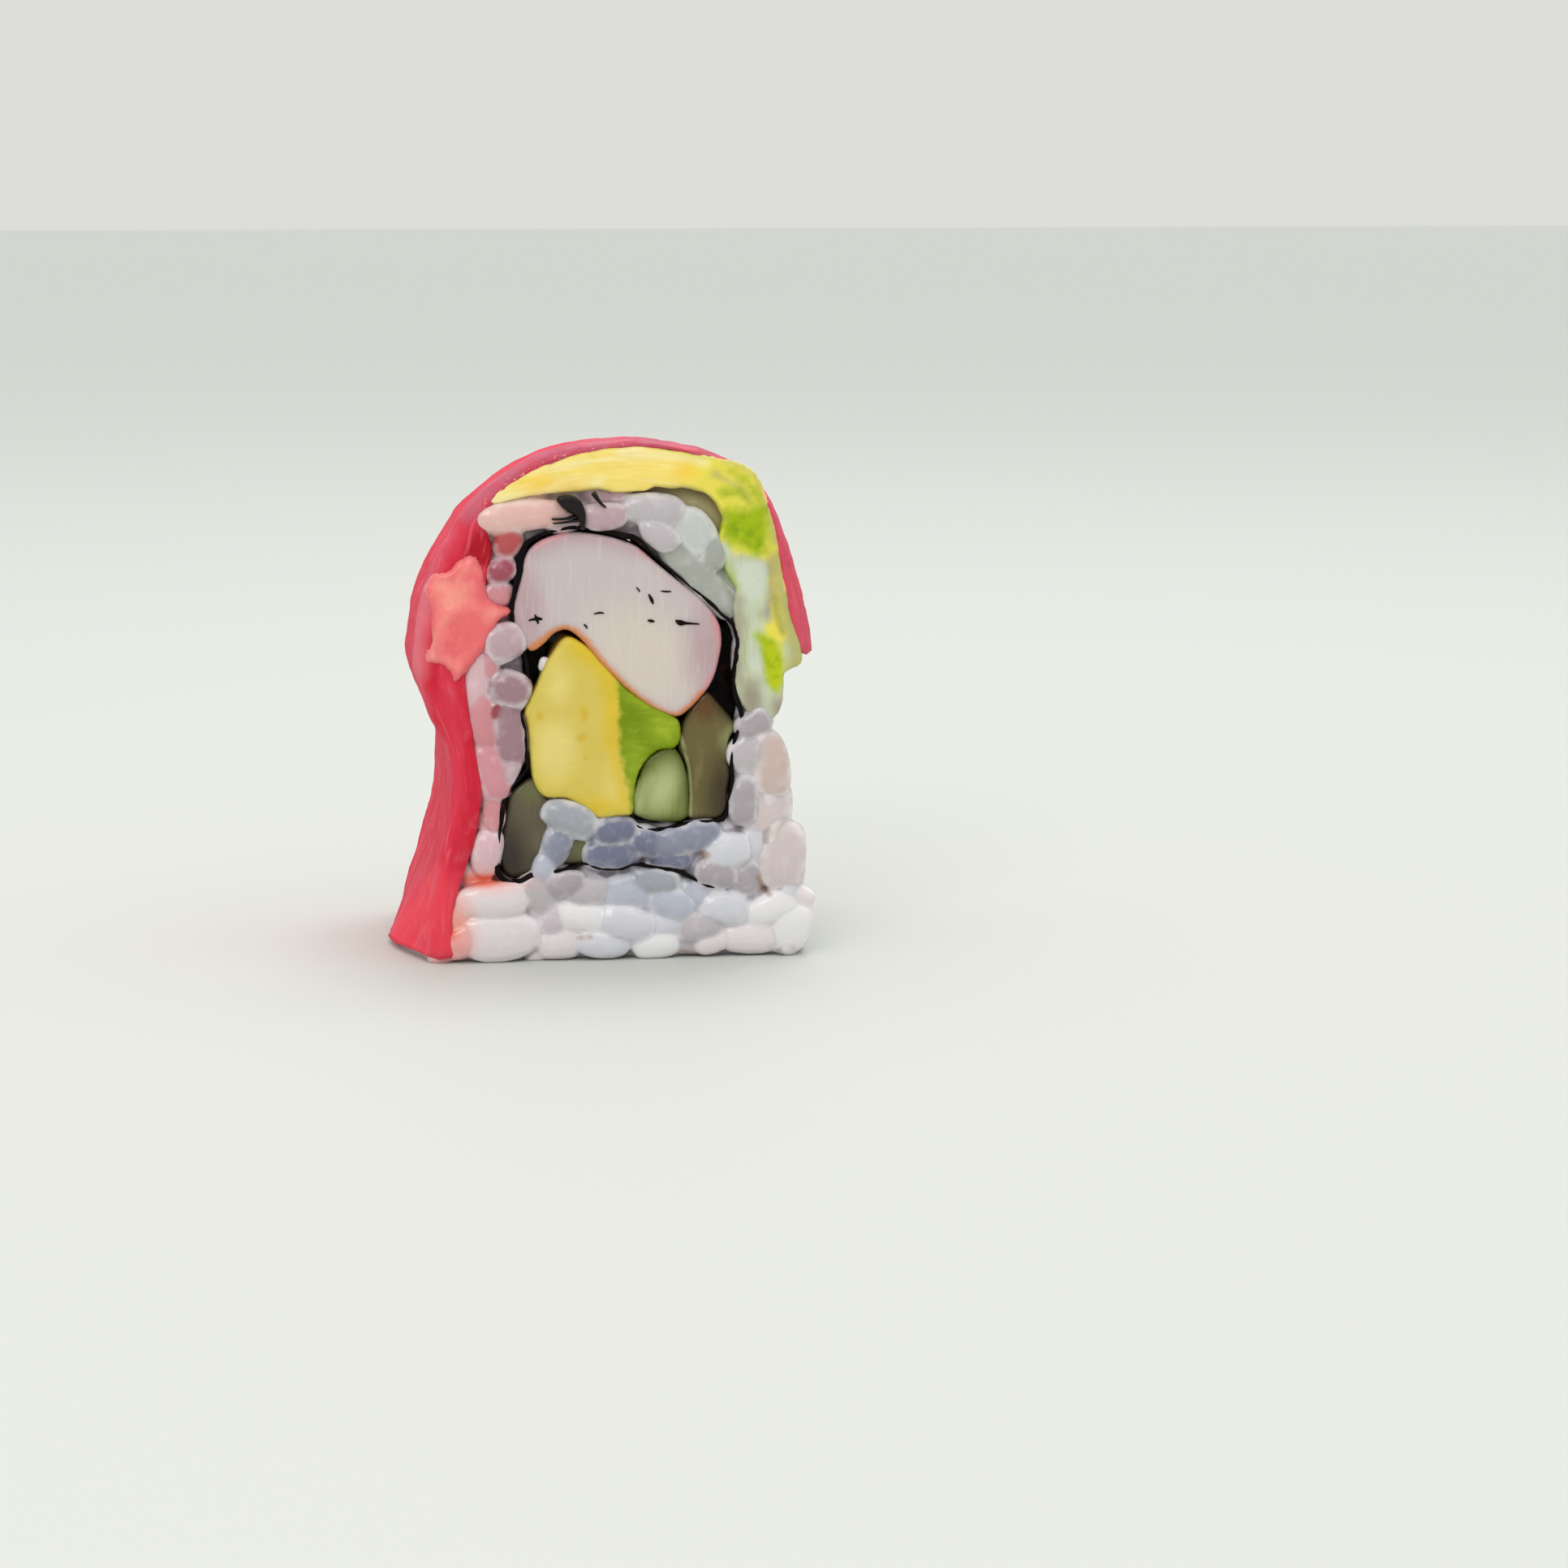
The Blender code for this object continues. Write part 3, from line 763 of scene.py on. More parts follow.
@dataclass(frozen=True)
class WedgeFinish(Finish):
    """The avocado inside the roll, half yellow and half green."""

    name: str = "avocado_filling_flesh"
    roughness: float = 0.4
    coat: float = 0.05
    specular: float = 0.25
    scatter: Triple = (1.2, 0.9, 0.3)
    bump: float = 0.09
    yellow: Colour = tone(214, 194, 96)
    straw: Colour = tone(210, 190, 74)
    gold: Colour = tone(220, 188, 24)
    cream: Colour = tone(232, 216, 136)
    dot: Colour = tone(208, 168, 30)
    green: Colour = tone(116, 142, 0)
    lime: Colour = tone(168, 186, 48)

    def colour(self, sheet: Sheet) -> Any:
        """Yellow with painted cream highlights and gold, then green on the right.

        Args:
            sheet: The nodes of the material.

        Returns:
            The colour.
        """
        wobble = (sheet.grain(1.0, 3.0) - 0.5) * 1.2
        streaks = sheet.grain((1.6, 2.0, 0.5), 3.0, 0.3)
        cloud = sheet.grain((2.4, 3.0, 4.2), 1.0)
        pale = sheet.field("pale").soft(-1.2, 1.2) * 0.6 + streaks.soft(0.45, 0.75) * 0.35
        greens = sheet.mix(pale, self.green, self.lime)
        return sheet.layered(
            sheet.mix(cloud.soft(0.35, 0.75) * 0.6, self.yellow, self.straw),
            (sheet.field("edge").soft(0.9, 0.0) * 0.4, self.straw),
            # cream: painted highlights, soft pale patches on the yellow
            (sheet.field("cream").soft(-1.2, 1.2) * 0.7, self.cream),
            ((sheet.field("gold") + wobble * 0.6).soft(-1.1, 0.9) * 0.75, self.gold),
            (sheet.field("dot").soft(-0.3, 0.3) * 0.7, self.dot),
            ((sheet.field("green") + wobble).soft(-0.3, 0.4), greens),
        )


@dataclass(frozen=True)
class CrabFinish(Finish):
    """Crab stick: pale pressed fish with fine threads and an orange rim."""

    name: str = "crab_stick_flesh"
    roughness: float = 0.36
    coat: float = 0.1
    coat_roughness: float = 0.25
    subsurface: float = 0.35
    scatter: Triple = (1.1, 0.8, 0.8)
    relief: tuple = ((0.25, 2.0, 3.0), 2.0, 0.3)
    flesh: Colour = tone(200, 189, 189)
    cream: Colour = tone(213, 202, 190)
    shade: Colour = tone(182, 152, 158)
    thread: Colour = tone(224, 216, 212)
    orange: Colour = tone(214, 130, 62)
    pink: Colour = tone(214, 144, 150)

    def colour(self, sheet: Sheet) -> Any:
        """Pale flesh with fine threads, then the marked rim of orange and pink.

        Args:
            sheet: The nodes of the material.

        Returns:
            The colour.
        """
        wobble = (sheet.grain(0.7, 3.0) - 0.5) * 0.5
        threads = sheet.grain((0.28, 3.0, 3.4), 2.0, 0.3)
        return sheet.layered(
            self.flesh,
            (sheet.field("cream").soft(-2.5, 2.0) * 0.8, self.cream),
            (sheet.field("shade").soft(-1.6, 1.4) * 0.8, self.shade),
            (sheet.field("edge").soft(1.2, 0.1) * 0.4, self.shade),
            (threads.soft(0.5, 0.75) * 0.22, self.thread),
            ((sheet.field("pink") + wobble).soft(-0.35, 0.35) * 0.75, self.pink),
            ((sheet.field("orange") + wobble).soft(-0.3, 0.3) * 0.85, self.orange),
        )


@dataclass(frozen=True)
class CucumberFinish(Finish):
    """Wet cucumber flesh. The default colours are for a strip in shadow: its dark olive flesh is painted
    shade.
    """

    name: str = "cucumber_flesh"
    roughness: float = 0.26
    coat: float = 0.15
    specular: float = 0.3
    subsurface: float = 0.2
    scatter: Triple = (0.9, 1.0, 0.5)
    bump: float = 0.06
    # dark olive flesh: painted shade for cucumber that lies in shadow
    flesh: Colour = tone(104, 93, 53)
    streak: Colour = tone(122, 112, 76)
    dark: Colour = tone(52, 40, 24)
    light: Colour = tone(168, 180, 118)
    brown: Colour = tone(98, 62, 26)

    def colour(self, sheet: Sheet) -> Any:
        """Streaked flesh, then painted shade (dark), brown and painted highlights (light) where it is
        marked, with painted shade at the rim.

        Args:
            sheet: The nodes of the material.

        Returns:
            The colour.
        """
        streaks = sheet.grain((0.7, 3.0, 3.4), 3.0, 0.5)
        return sheet.layered(
            self.flesh,
            (streaks.soft(0.45, 0.7) * 0.7, self.streak),
            # painted shade where marked dark
            (sheet.field("dark").soft(-1.4, 1.0) * 0.85, self.dark),
            (sheet.field("brown").soft(0.0, 1.6) * 0.8, self.brown),
            # painted shade: darker towards the rim
            (sheet.field("edge").soft(0.7, 0.0) * 0.7, self.dark),
            # painted highlights where marked light
            (sheet.field("light").soft(-1.0, 1.1) * 0.95, self.light),
            (sheet.field("line").soft(-0.12, 0.12) * 0.5, self.light),
        )


@dataclass(frozen=True)
class NoriFinish(Finish):
    """Dried seaweed, nearly black, brown where it is thin."""

    name: str = "nori_sheet_black"
    roughness: float = 0.5
    coat: float = 0.0
    specular: float = 0.12
    subsurface: float = 0.0
    bump: float = 0.08
    relief: tuple = (0.35, 4.0, 0.8)
    black: Colour = tone(12, 6, 6)
    brown: Colour = tone(58, 24, 20)

    def colour(self, sheet: Sheet) -> Any:
        """The colour over the surface."""
        patches = sheet.grain(0.9, 3.0)
        return sheet.mix(patches.soft(0.58, 0.8) * 0.7, self.black, self.brown)


@dataclass(frozen=True)
class RiceFinish(Finish):
    """Cooked rice, half clear, with the tint that its neighbours give it."""

    name: str = "rice_cooked"
    roughness: float = 0.24
    coat: float = 0.6
    coat_roughness: float = 0.1
    subsurface: float = 0.35
    scatter: Triple = (0.8, 0.65, 0.6)
    white: Colour = tone(236, 232, 235)
    # colour of the painted shade between grains
    gap: Colour = tone(148, 132, 142)
    juice: Colour = tone(226, 84, 48)
    blush: Colour = tone(240, 150, 134)
    brown: Colour = tone(150, 108, 66)

    def colour(self, sheet: Sheet) -> Any:
        """The tint of each grain, whiter in parts and at the rims as painted highlight, with painted shade
        in the gaps between.

        Args:
            sheet: The nodes of the material.

        Returns:
            The colour.
        """
        heart = sheet.field("heart")
        cloud = sheet.grain(1.2, 2.0)
        tint = sheet.vector("tint")
        # painted highlight: whiter towards the rim of each grain, with whiter clouds at random
        rim = heart.soft(0.5, 0.92) * cloud.soft(0.25, 0.6) * 0.5 + cloud.soft(0.5, 0.75) * 0.15
        return sheet.layered(
            sheet.mix(rim, tint, self.white),
            # painted shade in the creases between grains and where a grain lies low
            (sheet.field("gap").soft(0.0, 1.0) * 0.62, self.gap),
            (sheet.field("blush").soft(-1.5, 1.2) * 0.7, self.blush),
            (sheet.field("juice").soft(-0.5, 0.4) * 0.85, self.juice),
            (sheet.field("brown").soft(-0.25, 0.2) * 0.6, self.brown),
        )


@dataclass(frozen=True)
class FloorFinish(Finish):
    """A plain pale matt floor."""

    name: str = "pale_floor"
    roughness: float = 0.6
    coat: float = 0.0
    subsurface: float = 0.0
    pale: Colour = tone(200, 202, 198)

    def colour(self, sheet: Sheet) -> Any:
        """The colour over the surface."""
        return self.pale


def linked(name: str, data: bpy.types.ID) -> bpy.types.Object:
    """Adds an object that holds some data to the scene.

    Args:
        name: Name of the object.
        data: Its mesh, light or camera.

    Returns:
        The object.
    """
    holder = bpy.data.objects.new(name, data)
    bpy.context.scene.collection.objects.link(holder)
    return holder


def read(rows: Any, name: str) -> Points:
    """Reads a vector of each point of a mesh.

    Args:
        rows: The mesh's points, or its normals.
        name: What is read from each.

    Returns:
        One row of three numbers for each point.
    """
    found = np.zeros(len(rows) * 3, np.float32)
    rows.foreach_get(name, found)
    return found.reshape(-1, 3).astype(float)


@dataclass
class Shape:
    """A mesh in the drawing, in millimetres, before it is put in its place."""

    points: Points
    faces: list

    def moved(self, push: Points) -> "Shape":
        """The same faces with each point pushed."""
        return Shape(self.points + push, self.faces)

    def above(self, lowest: float) -> "Shape":
        """The same faces with no point below a height."""
        return Shape(np.maximum(self.points, (-np.inf, -np.inf, lowest)), self.faces)

    def mesh(self, name: str) -> bpy.types.Mesh:
        """The shape as a new mesh.

        Args:
            name: Name of the mesh.

        Returns:
            The mesh.
        """
        mesh = bpy.data.meshes.new(name)
        mesh.from_pydata(self.points.tolist(), [], self.faces)
        return mesh

    def normals(self) -> Points:
        """The direction out of the surface.

        Returns:
            One direction for each point.
        """
        mesh = self.mesh("measure")
        found = read(mesh.vertex_normals, "vector")
        bpy.data.meshes.remove(mesh)
        return found

    def fused(self, voxel: float) -> "Shape":
        """Fuses the closed parts of the shape and softens the creases between them.

        Args:
            voxel: Size of the grid on which they are fused, in millimetres.

        Returns:
            The fused shape.
        """
        mesh = self.mesh("fused")
        holder = linked("fused", mesh)
        remesh = holder.modifiers.new("remesh", "REMESH")
        remesh.mode = "VOXEL"
        remesh.voxel_size = voxel
        soften = holder.modifiers.new("soften", "SMOOTH")
        soften.factor = 0.5
        soften.iterations = 2
        bpy.context.view_layer.update()
        evaluated = holder.evaluated_get(bpy.context.evaluated_depsgraph_get())
        solid = bpy.data.meshes.new_from_object(evaluated)
        points = read(solid.vertices, "co")
        faces = [tuple(polygon.vertices) for polygon in solid.polygons]
        bpy.data.objects.remove(holder)
        bpy.data.meshes.remove(mesh)
        bpy.data.meshes.remove(solid)
        return Shape(points, faces)


def joined(shapes: list[Shape]) -> Shape:
    """Several shapes as one, side by side.

    Args:
        shapes: The shapes.

    Returns:
        One shape with all their points and faces.
    """
    faces, first = [], 0
    for shape in shapes:
        faces += [tuple(first + i for i in face) for face in shape.faces]
        first += len(shape.points)
    return Shape(np.vstack([shape.points for shape in shapes]), faces)


@dataclass
class Slab:
    """A solid that follows closed rims of the section, the outer one first, between two depths.

    The rim rows are the lines of points that follow the rims on the cut faces: how far in each
    lies, as a share of the rounding, and which of its points are taken.
    """

    rims: list
    front: float
    back: float
    rounding: float
    cell: float
    step: float
    radius: Callable[[Points], Points] | None = None
    rim_rows: tuple = ((0.12, 2), (0.38, 1), (0.75, 1))
    row_height: float = 0.87

    def __post_init__(self) -> None:
        """Turns the outer rim anticlockwise and the holes clockwise."""
        outer, *holes = self.rims
        self.rims = [anticlockwise(outer)] + [anticlockwise(hole)[::-1] for hole in holes]

    def shape(self) -> Shape:
        """Builds the solid, with a fine grid of points on its two cut faces.

        Returns:
            The closed mesh.
        """
        rim, inner = np.vstack(self.rims), self.inner_points()
        flat = np.vstack([rim, inner])
        depth = np.concatenate([np.zeros(len(rim)), self.depth(inner)])
        radius = self.radius(flat) if self.radius else np.full(len(flat), self.rounding)
        left = np.maximum(radius - depth, 0.0)
        drop = radius - np.sqrt(np.maximum(radius**2 - left**2, 0.0))
        middle, reach = (self.front + self.back) / 2, (self.back - self.front) / 2 - radius[: len(rim)]
        rows = [at_depth(rim, middle + share * reach) for share in self.shares()]
        points = [at_depth(flat, self.front + drop), *rows, at_depth(flat, self.back - drop)]
        starts = [0] + [len(flat) + len(rim) * i for i in range(len(rows) + 1)]
        edges = self.edges()
        faces = self.filled(flat, edges)
        faces += [tuple(starts[-1] + i for i in reversed(face)) for face in faces]
        for a, b in zip(starts, starts[1:]):
            faces += [(a + after, a + here, b + here, b + after) for here, after in edges]
        return Shape(np.vstack(points), faces)

    def shares(self) -> Points:
        """Rows of points between the two cut faces, closer near the cuts.

        Returns:
            Their places from -1 at the front to 1 at the back.
        """
        count = max(4, round((self.back - self.front - 2 * self.rounding) / self.step))
        even = np.linspace(-1.0, 1.0, count + 1)[1:-1]
        return even * 0.6 + np.sin(even * math.pi / 2) * 0.4

    def depth(self, places: Points) -> Points:
        """Distance of each place from the nearest rim, positive in the solid."""
        insides = [depth_inside(places, rim) for rim in self.rims]
        return np.min(insides[:1] + [-inside for inside in insides[1:]], axis=0)

    def edges(self) -> list:
        """Pairs of neighbours round each rim.

        Returns:
            The pairs, by their places in the row of all the rims' points.
        """
        found = []
        for rim in self.rims:
            first, count = len(found), len(rim)
            found += [(first + i, first + (i + 1) % count) for i in range(count)]
        return found

    def inner_points(self) -> Points:
        """Points inside the cut face: rows that follow the rims, and a triangular grid.

        Returns:
            The points as rows of x and z.
        """
        low, high = self.rims[0].min(axis=0), self.rims[0].max(axis=0)
        found = []
        for share, every in self.rim_rows:
            inset = self.rounding * share
            for rim in self.rims:
                line = grown(rim, -inset)[::every]
                found.append(line[self.depth(line) > inset * 0.9])
        grid = []
        for row, z in enumerate(np.arange(low[1], high[1], self.cell * self.row_height)):
            grid += [(x, z) for x in np.arange(low[0] + (row % 2) * self.cell / 2, high[0], self.cell)]
        grid = np.array(grid)
        found.append(grid[self.depth(grid) > self.rounding * 0.75 + self.cell * 0.5])
        return np.vstack(found)

    def filled(self, flat: Points, edges: list) -> list:
        """Triangles that fill the cut face.

        Args:
            flat: Points of the rims and then those inside.
            edges: Pairs of neighbours on the rims.

        Returns:
            The triangles, anticlockwise from the front.
        """
        made = delaunay_2d_cdt([Vector(place) for place in flat.tolist()], edges, [], 0, 1e-5)
        places, faces, origins = made[0], made[2], made[3]
        middle = np.array([np.mean([places[i] for i in face], axis=0) for face in faces])
        keep = self.depth(middle) > 0.0
        first_of = [origin[0] if origin else -1 for origin in origins]
        found = [tuple(first_of[i] for i in face) for face, kept in zip(faces, keep) if kept]
        return [face for face in found if -1 not in face and len(set(face)) == 3]


@dataclass
class Piece:
    """What each piece has: its name, the solid that it stands for, its slot and its finish."""

    name: str
    node: str
    slot: str
    finish: Finish

    def build(self) -> None:
        """Builds and dresses the piece."""
        raise NotImplementedError

    def dress(self, shape: Shape, fields: dict, suffix: str = "") -> None:
        """Puts a shape in its place as a smooth mesh that carries its fields, and reports it.

        Args:
            shape: The mesh in the drawing.
            fields: Numbers or vectors for each point, by the names that the finish reads.
            suffix: What the name ends with where a class builds several pieces.
        """
        name = self.name + suffix
        mesh = Shape(DRAPE.placed(shape.points), shape.faces).mesh(name)
        mesh.validate()
        mesh.shade_smooth()
        for field_name, values in fields.items():
            kind = "FLOAT" if values.ndim == 1 else "FLOAT_VECTOR"
            carried = mesh.attributes.new(field_name, kind, "POINT")
            carried.data.foreach_set("value" if kind == "FLOAT" else "vector", values.ravel())
        mesh.materials.append(self.finish.material())
        piece = linked(name, mesh)
        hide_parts(self.node)
        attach(piece, "root")
        log.info("%s: %d faces", name, len(mesh.polygons))


@dataclass
class Food(Piece):
    """One food of the roll that runs from cut to cut."""

    marks: Marks = ()
    rounding: float = 0.45
    cell: float = 0.4
    step: float = 0.8
    setback: float = 0.0
    wrinkle: float = 0.1
    wrinkle_size: float = 2.5
    fade: float = 0.0

    def outline(self) -> Points:
        """The closed outline of the section."""
        raise NotImplementedError

    def ends(self) -> tuple[float, float]:
        """Depth of the front cut and of the back cut."""
        return self.setback - HALF_LENGTH, HALF_LENGTH - self.setback

    def radius(self, places: Points) -> Points:
        """Radius of the rounded cut edge near each place of the section."""
        return np.full(len(places), self.rounding)

    def relief(self, drawn: Points) -> Points:
        """How far each point is pushed out of the surface, in millimetres."""
        fine = ripple(drawn, self.wrinkle_size / 3, len(self.node) + 0.5)
        return self.wrinkle * (ripple(drawn, self.wrinkle_size, len(self.name)) + 0.4 * fine)

    def push(self, drawn: Points) -> Points:
        """A further shift of each point, in millimetres."""
        return np.zeros_like(drawn)

    def fields(self, drawn: Points) -> dict:
        """What the finish reads at each point.

        Args:
            drawn: The points before their relief.

        Returns:
            The marks, the distance from the rim and from the cuts, and the points.
        """
        found = mark_fields(self.marks, drawn, self.fade)
        found["edge"] = np.maximum(depth_inside(section(drawn), self.outline()), 0.0)
        behind = HALF_LENGTH - self.setback - np.abs(drawn[:, 1])
        found["wall"] = np.clip(behind / (2 * self.rounding + 0.2), 0.0, 1.0)
        return found

    def build(self) -> None:
        """Builds the slab of the section, gives it its relief and dresses it."""
        front, back = self.ends()
        slab = Slab([self.outline()], front, back, self.rounding, self.cell, self.step, self.radius)
        shape = slab.shape()
        out = shape.normals() * self.relief(shape.points)[:, None]
        moved = shape.moved(out + self.push(shape.points)).above(CLEAR_OF_FLOOR)
        self.dress(moved, self.fields(shape.points))


@dataclass
class DrawnFood(Food):
    """A food whose section is drawn by its corners."""

    corners: tuple = ()

    def outline(self) -> Points:
        """The closed outline of the section."""
        return anticlockwise(smooth_line(self.corners, self.cell, closed=True))


TUNA_LINE = (
    (-14.2, 0.6, 2), (-14.1, 5, 1.9), (-13.2, 9, 2.4), (-12.3, 12.5, 2.6), (-12, 16, 2.6),
    (-12.4, 19.5, 2.5), (-13.5, 23.2, 3.5), (-14.1, 26.5, 4.6), (-13.5, 29.3, 5.6), (-13, 32, 5.7),
    (-12.5, 34.6, 5), (-11.7, 37.2, 4.2), (-11.1, 39.6, 2.6), (-9.9, 41.5, 1.6), (-7.5, 43.6, 1.2),
    (-5.2, 44.9, 1.2), (-2.3, 45.8, 1.1), (0.9, 46.3, 0.9), (3.8, 46.4, 0.8), (6.3, 46.1, 0.7),
    (9, 45.5, 0.7), (11.6, 44.5, 0.7), (13.7, 43, 0.7), (15.1, 41.1, 0.7), (16.1, 38.5, 0.9),
    (16.8, 36, 1.2), (17.4, 33, 1.6), (18.1, 30.1, 1.5), (18.6, 27.6, 0.9),
)


def along_strip(drawn: Points, line: Points) -> Points:
    """Where each point lies along and across a strip.

    Args:
        drawn: Points of the drawing.
        line: The strip's middle line, as rows that start with x and z.

    Returns:
        The length walked along the line, the offset from it and the depth.
    """
    steps = np.linalg.norm(np.diff(line[:, :2], axis=0), axis=1)
    walked = np.concatenate([[0.0], np.cumsum(steps)])
    ahead = unit(np.gradient(line[:, :2], axis=0))
    found = []
    for part in batches(drawn):
        places = section(part)
        best = ((places[:, None] - line[:, :2]) ** 2).sum(2).argmin(1)
        across = places - line[best, :2]
        forward = (across * ahead[best]).sum(1)
        side = across[:, 1] * ahead[best, 0] - across[:, 0] * ahead[best, 1]
        found.append(np.column_stack([walked[best] + forward, side, part[:, 1]]))
    return np.vstack(found)


@dataclass
class TunaSlice(Food):
    """The slice of tuna draped over the top and down both sides."""

    name: str = "tuna_slice"
    node: str = "tuna"
    slot: str = "tuna"
    finish: Finish = TunaFinish()
    rounding: float = 0.35
    cell: float = 0.36
    wrinkle: float = 0.18
    wrinkle_size: float = 3.0
    fade: float = 0.22
    outer_round: float = 1.3
    inner_round: float = 0.3
    covered: tuple = ((10.5, 45.4), (12.7, 44.2), (14.6, 42.4))
    drawn_back: float = 0.9
    corner_lift: float = 1.6
    edge_wave: float = 0.9
    marks: Marks = marked(
        # crimson: deeper red of the recessed cut face, partly painted shade in the recess
        crimson=Area((
            (-12, 36.7), (-10.4, 35.6), (-9, 35.8), (-8.6, 38.8), (-10, 39.4), (-11.2, 38.4),
        )),
        # painted sheen: lilac-pink reflection along the top rim of the slice
        crown=Streak((
            (-11.6, 41.6), (-8, 44.6), (-3, 46.6), (1, 47.1), (5, 47.1), (9, 46.5), (12, 45.4),
            (14.4, 43.6),
        ), 1.8),
        # painted sheen: paler rosy streaks down the outer rims at the right and the left
        rosy=[
            Streak((
                (12.6, 45), (14.6, 43.2), (15.8, 41), (17, 36), (18.2, 30), (18.8, 27),
            ), 2.0),
            Streak(((-13.6, 38.6), (-15.6, 34.4), (-16.8, 30), (-16.8, 26), (-16, 23)), 1.7),
        ],
        # painted sheen: a pale pink veil where the left side bulges
        bulge=Streak(((-15.2, 33), (-16.2, 29.5), (-16.2, 26.5)), 1.2),
        deep=[
            Streak(((-12.6, 9), (-11.6, 12.4), (-11.2, 15.5), (-11.6, 20)), 0.9),
            Spot(-10.8, 14, 0.6, 0.8),
        ],
        foot=Area(((-20, -1), (-12.8, -1), (-13.2, 5.5), (-15, 9), (-20, 7))),
        # painted glints: tiny pale specks along the top and down the left side
        crumbly=[
            Streak(((-10.5, 40.2), (-8.6, 42.4), (-5, 44.4), (-1.5, 45.5), (2, 46)), 0.9),
            Streak(((-14.9, 19), (-15, 15), (-15.4, 12)), 1.4),
        ],
    )

    def line(self) -> Points:
        """The middle line of the slice."""
        return smooth_line(TUNA_LINE, self.cell)

    def outline(self) -> Points:
        """The closed outline of the section."""
        return strip_outline(self.line())

    def radius(self, places: Points) -> Points:
        """A full round on the outer side, and a tight one against the rice."""
        outside = smoothstep(along_strip(at_depth(places, 0.0), self.line())[:, 1], -0.3, 0.4)
        return self.inner_round + (self.outer_round - self.inner_round) * outside

    def fields(self, drawn: Points) -> dict:
        """What the finish reads at each point."""
        return {**super().fields(drawn), "strip": along_strip(drawn, self.line())}

    def push(self, drawn: Points) -> Points:
        """Draws the front edge back under the avocado, and waves the lower right edge.

        Args:
            drawn: The points.

        Returns:
            The shift of each point, in millimetres.
        """
        shift = np.zeros_like(drawn)
        front = smoothstep(-drawn[:, 1], HALF_LENGTH - 2.2, HALF_LENGTH - 0.4)
        shift[:, 1] = self.drawn_back * close_to(drawn, self.covered, 0.3, 1.6) * front
        right = smoothstep(drawn[:, 0], 12.0, 18.0) * smoothstep(-drawn[:, 2], -40.0, -28.0)
        corner = self.corner_lift * (np.abs(drawn[:, 1]) / HALF_LENGTH) ** 6 * (drawn[:, 1] > 0)
        wave = self.edge_wave * ripple(drawn * (0.0, 1.0, 0.0), 7.0, 3.0)
        shift[:, 2] = right * (corner + wave * smoothstep(drawn[:, 1], -12.0, -6.0))
        return shift


@dataclass
class TunaFlake(DrawnFood):
    """The torn flake that lies over the tuna's front cut and the edge of the rice."""

    name: str = "tuna_flake"
    node: str = "tuna"
    slot: str = "tuna"
    finish: Finish = FlakeFinish()
    rounding: float = 0.75
    cell: float = 0.26
    step: float = 0.3
    wrinkle: float = 0.2
    wrinkle_size: float = 1.2
    thickness: float = 1.8
    proud: float = 0.4
    bend: float = 0.8
    corners: tuple = (
        (-12.6, 36.3), (-11.2, 36.7), (-10.3, 35.9), (-10.1, 34.4), (-9.8, 33), (-8.9, 32.2), (-7.8, 31.6),
        (-9, 30.7), (-9.5, 29.3), (-10.2, 28.1), (-11.4, 26.9), (-12.2, 25.9), (-12.9, 25.3), (-13.4, 26.4),
        (-14.6, 26.9), (-15.6, 26.6), (-16.4, 26.8), (-16.3, 27.7), (-15.8, 28.8), (-15.3, 30.6),
        (-15.2, 32.2), (-15.5, 33.8), (-14.7, 35), (-13.4, 35.3),
    )
    marks: Marks = marked(
        # pale: the flake's paler fibres, and painted highlights on its wrinkles
        pale=[
            Spot(-14, 34, 1, 0.9),
            Streak(((-12.8, 33.4), (-12.3, 35), (-11.5, 36.2)), 0.5),
            Streak(((-15.1, 27.6), (-14.6, 29.6), (-13.4, 31.6)), 0.5),
            Spot(-9.2, 31.6, 1, 0.6),
            Streak(((-15.6, 27.2), (-13.8, 27.4), (-12.6, 26.4)), 0.4),
            Spot(-12.9, 33, 1.5, 1, 30),
        ],
        clear=[Spot(-11.9, 30, 2.2, 1.8, 20), Spot(-12.6, 34.6, 0.6, 1)],
    )

    def ends(self) -> tuple[float, float]:
        """Depth of the front and of the back of the flake."""
        front = -HALF_LENGTH - self.proud
        return front, front + self.thickness

    def push(self, drawn: Points) -> Points:
        """Bends the left edge back over the rounded rim of the slice."""
        return np.outer(self.bend * smoothstep(-drawn[:, 0], 13.6, 16.6), BACKWARD)


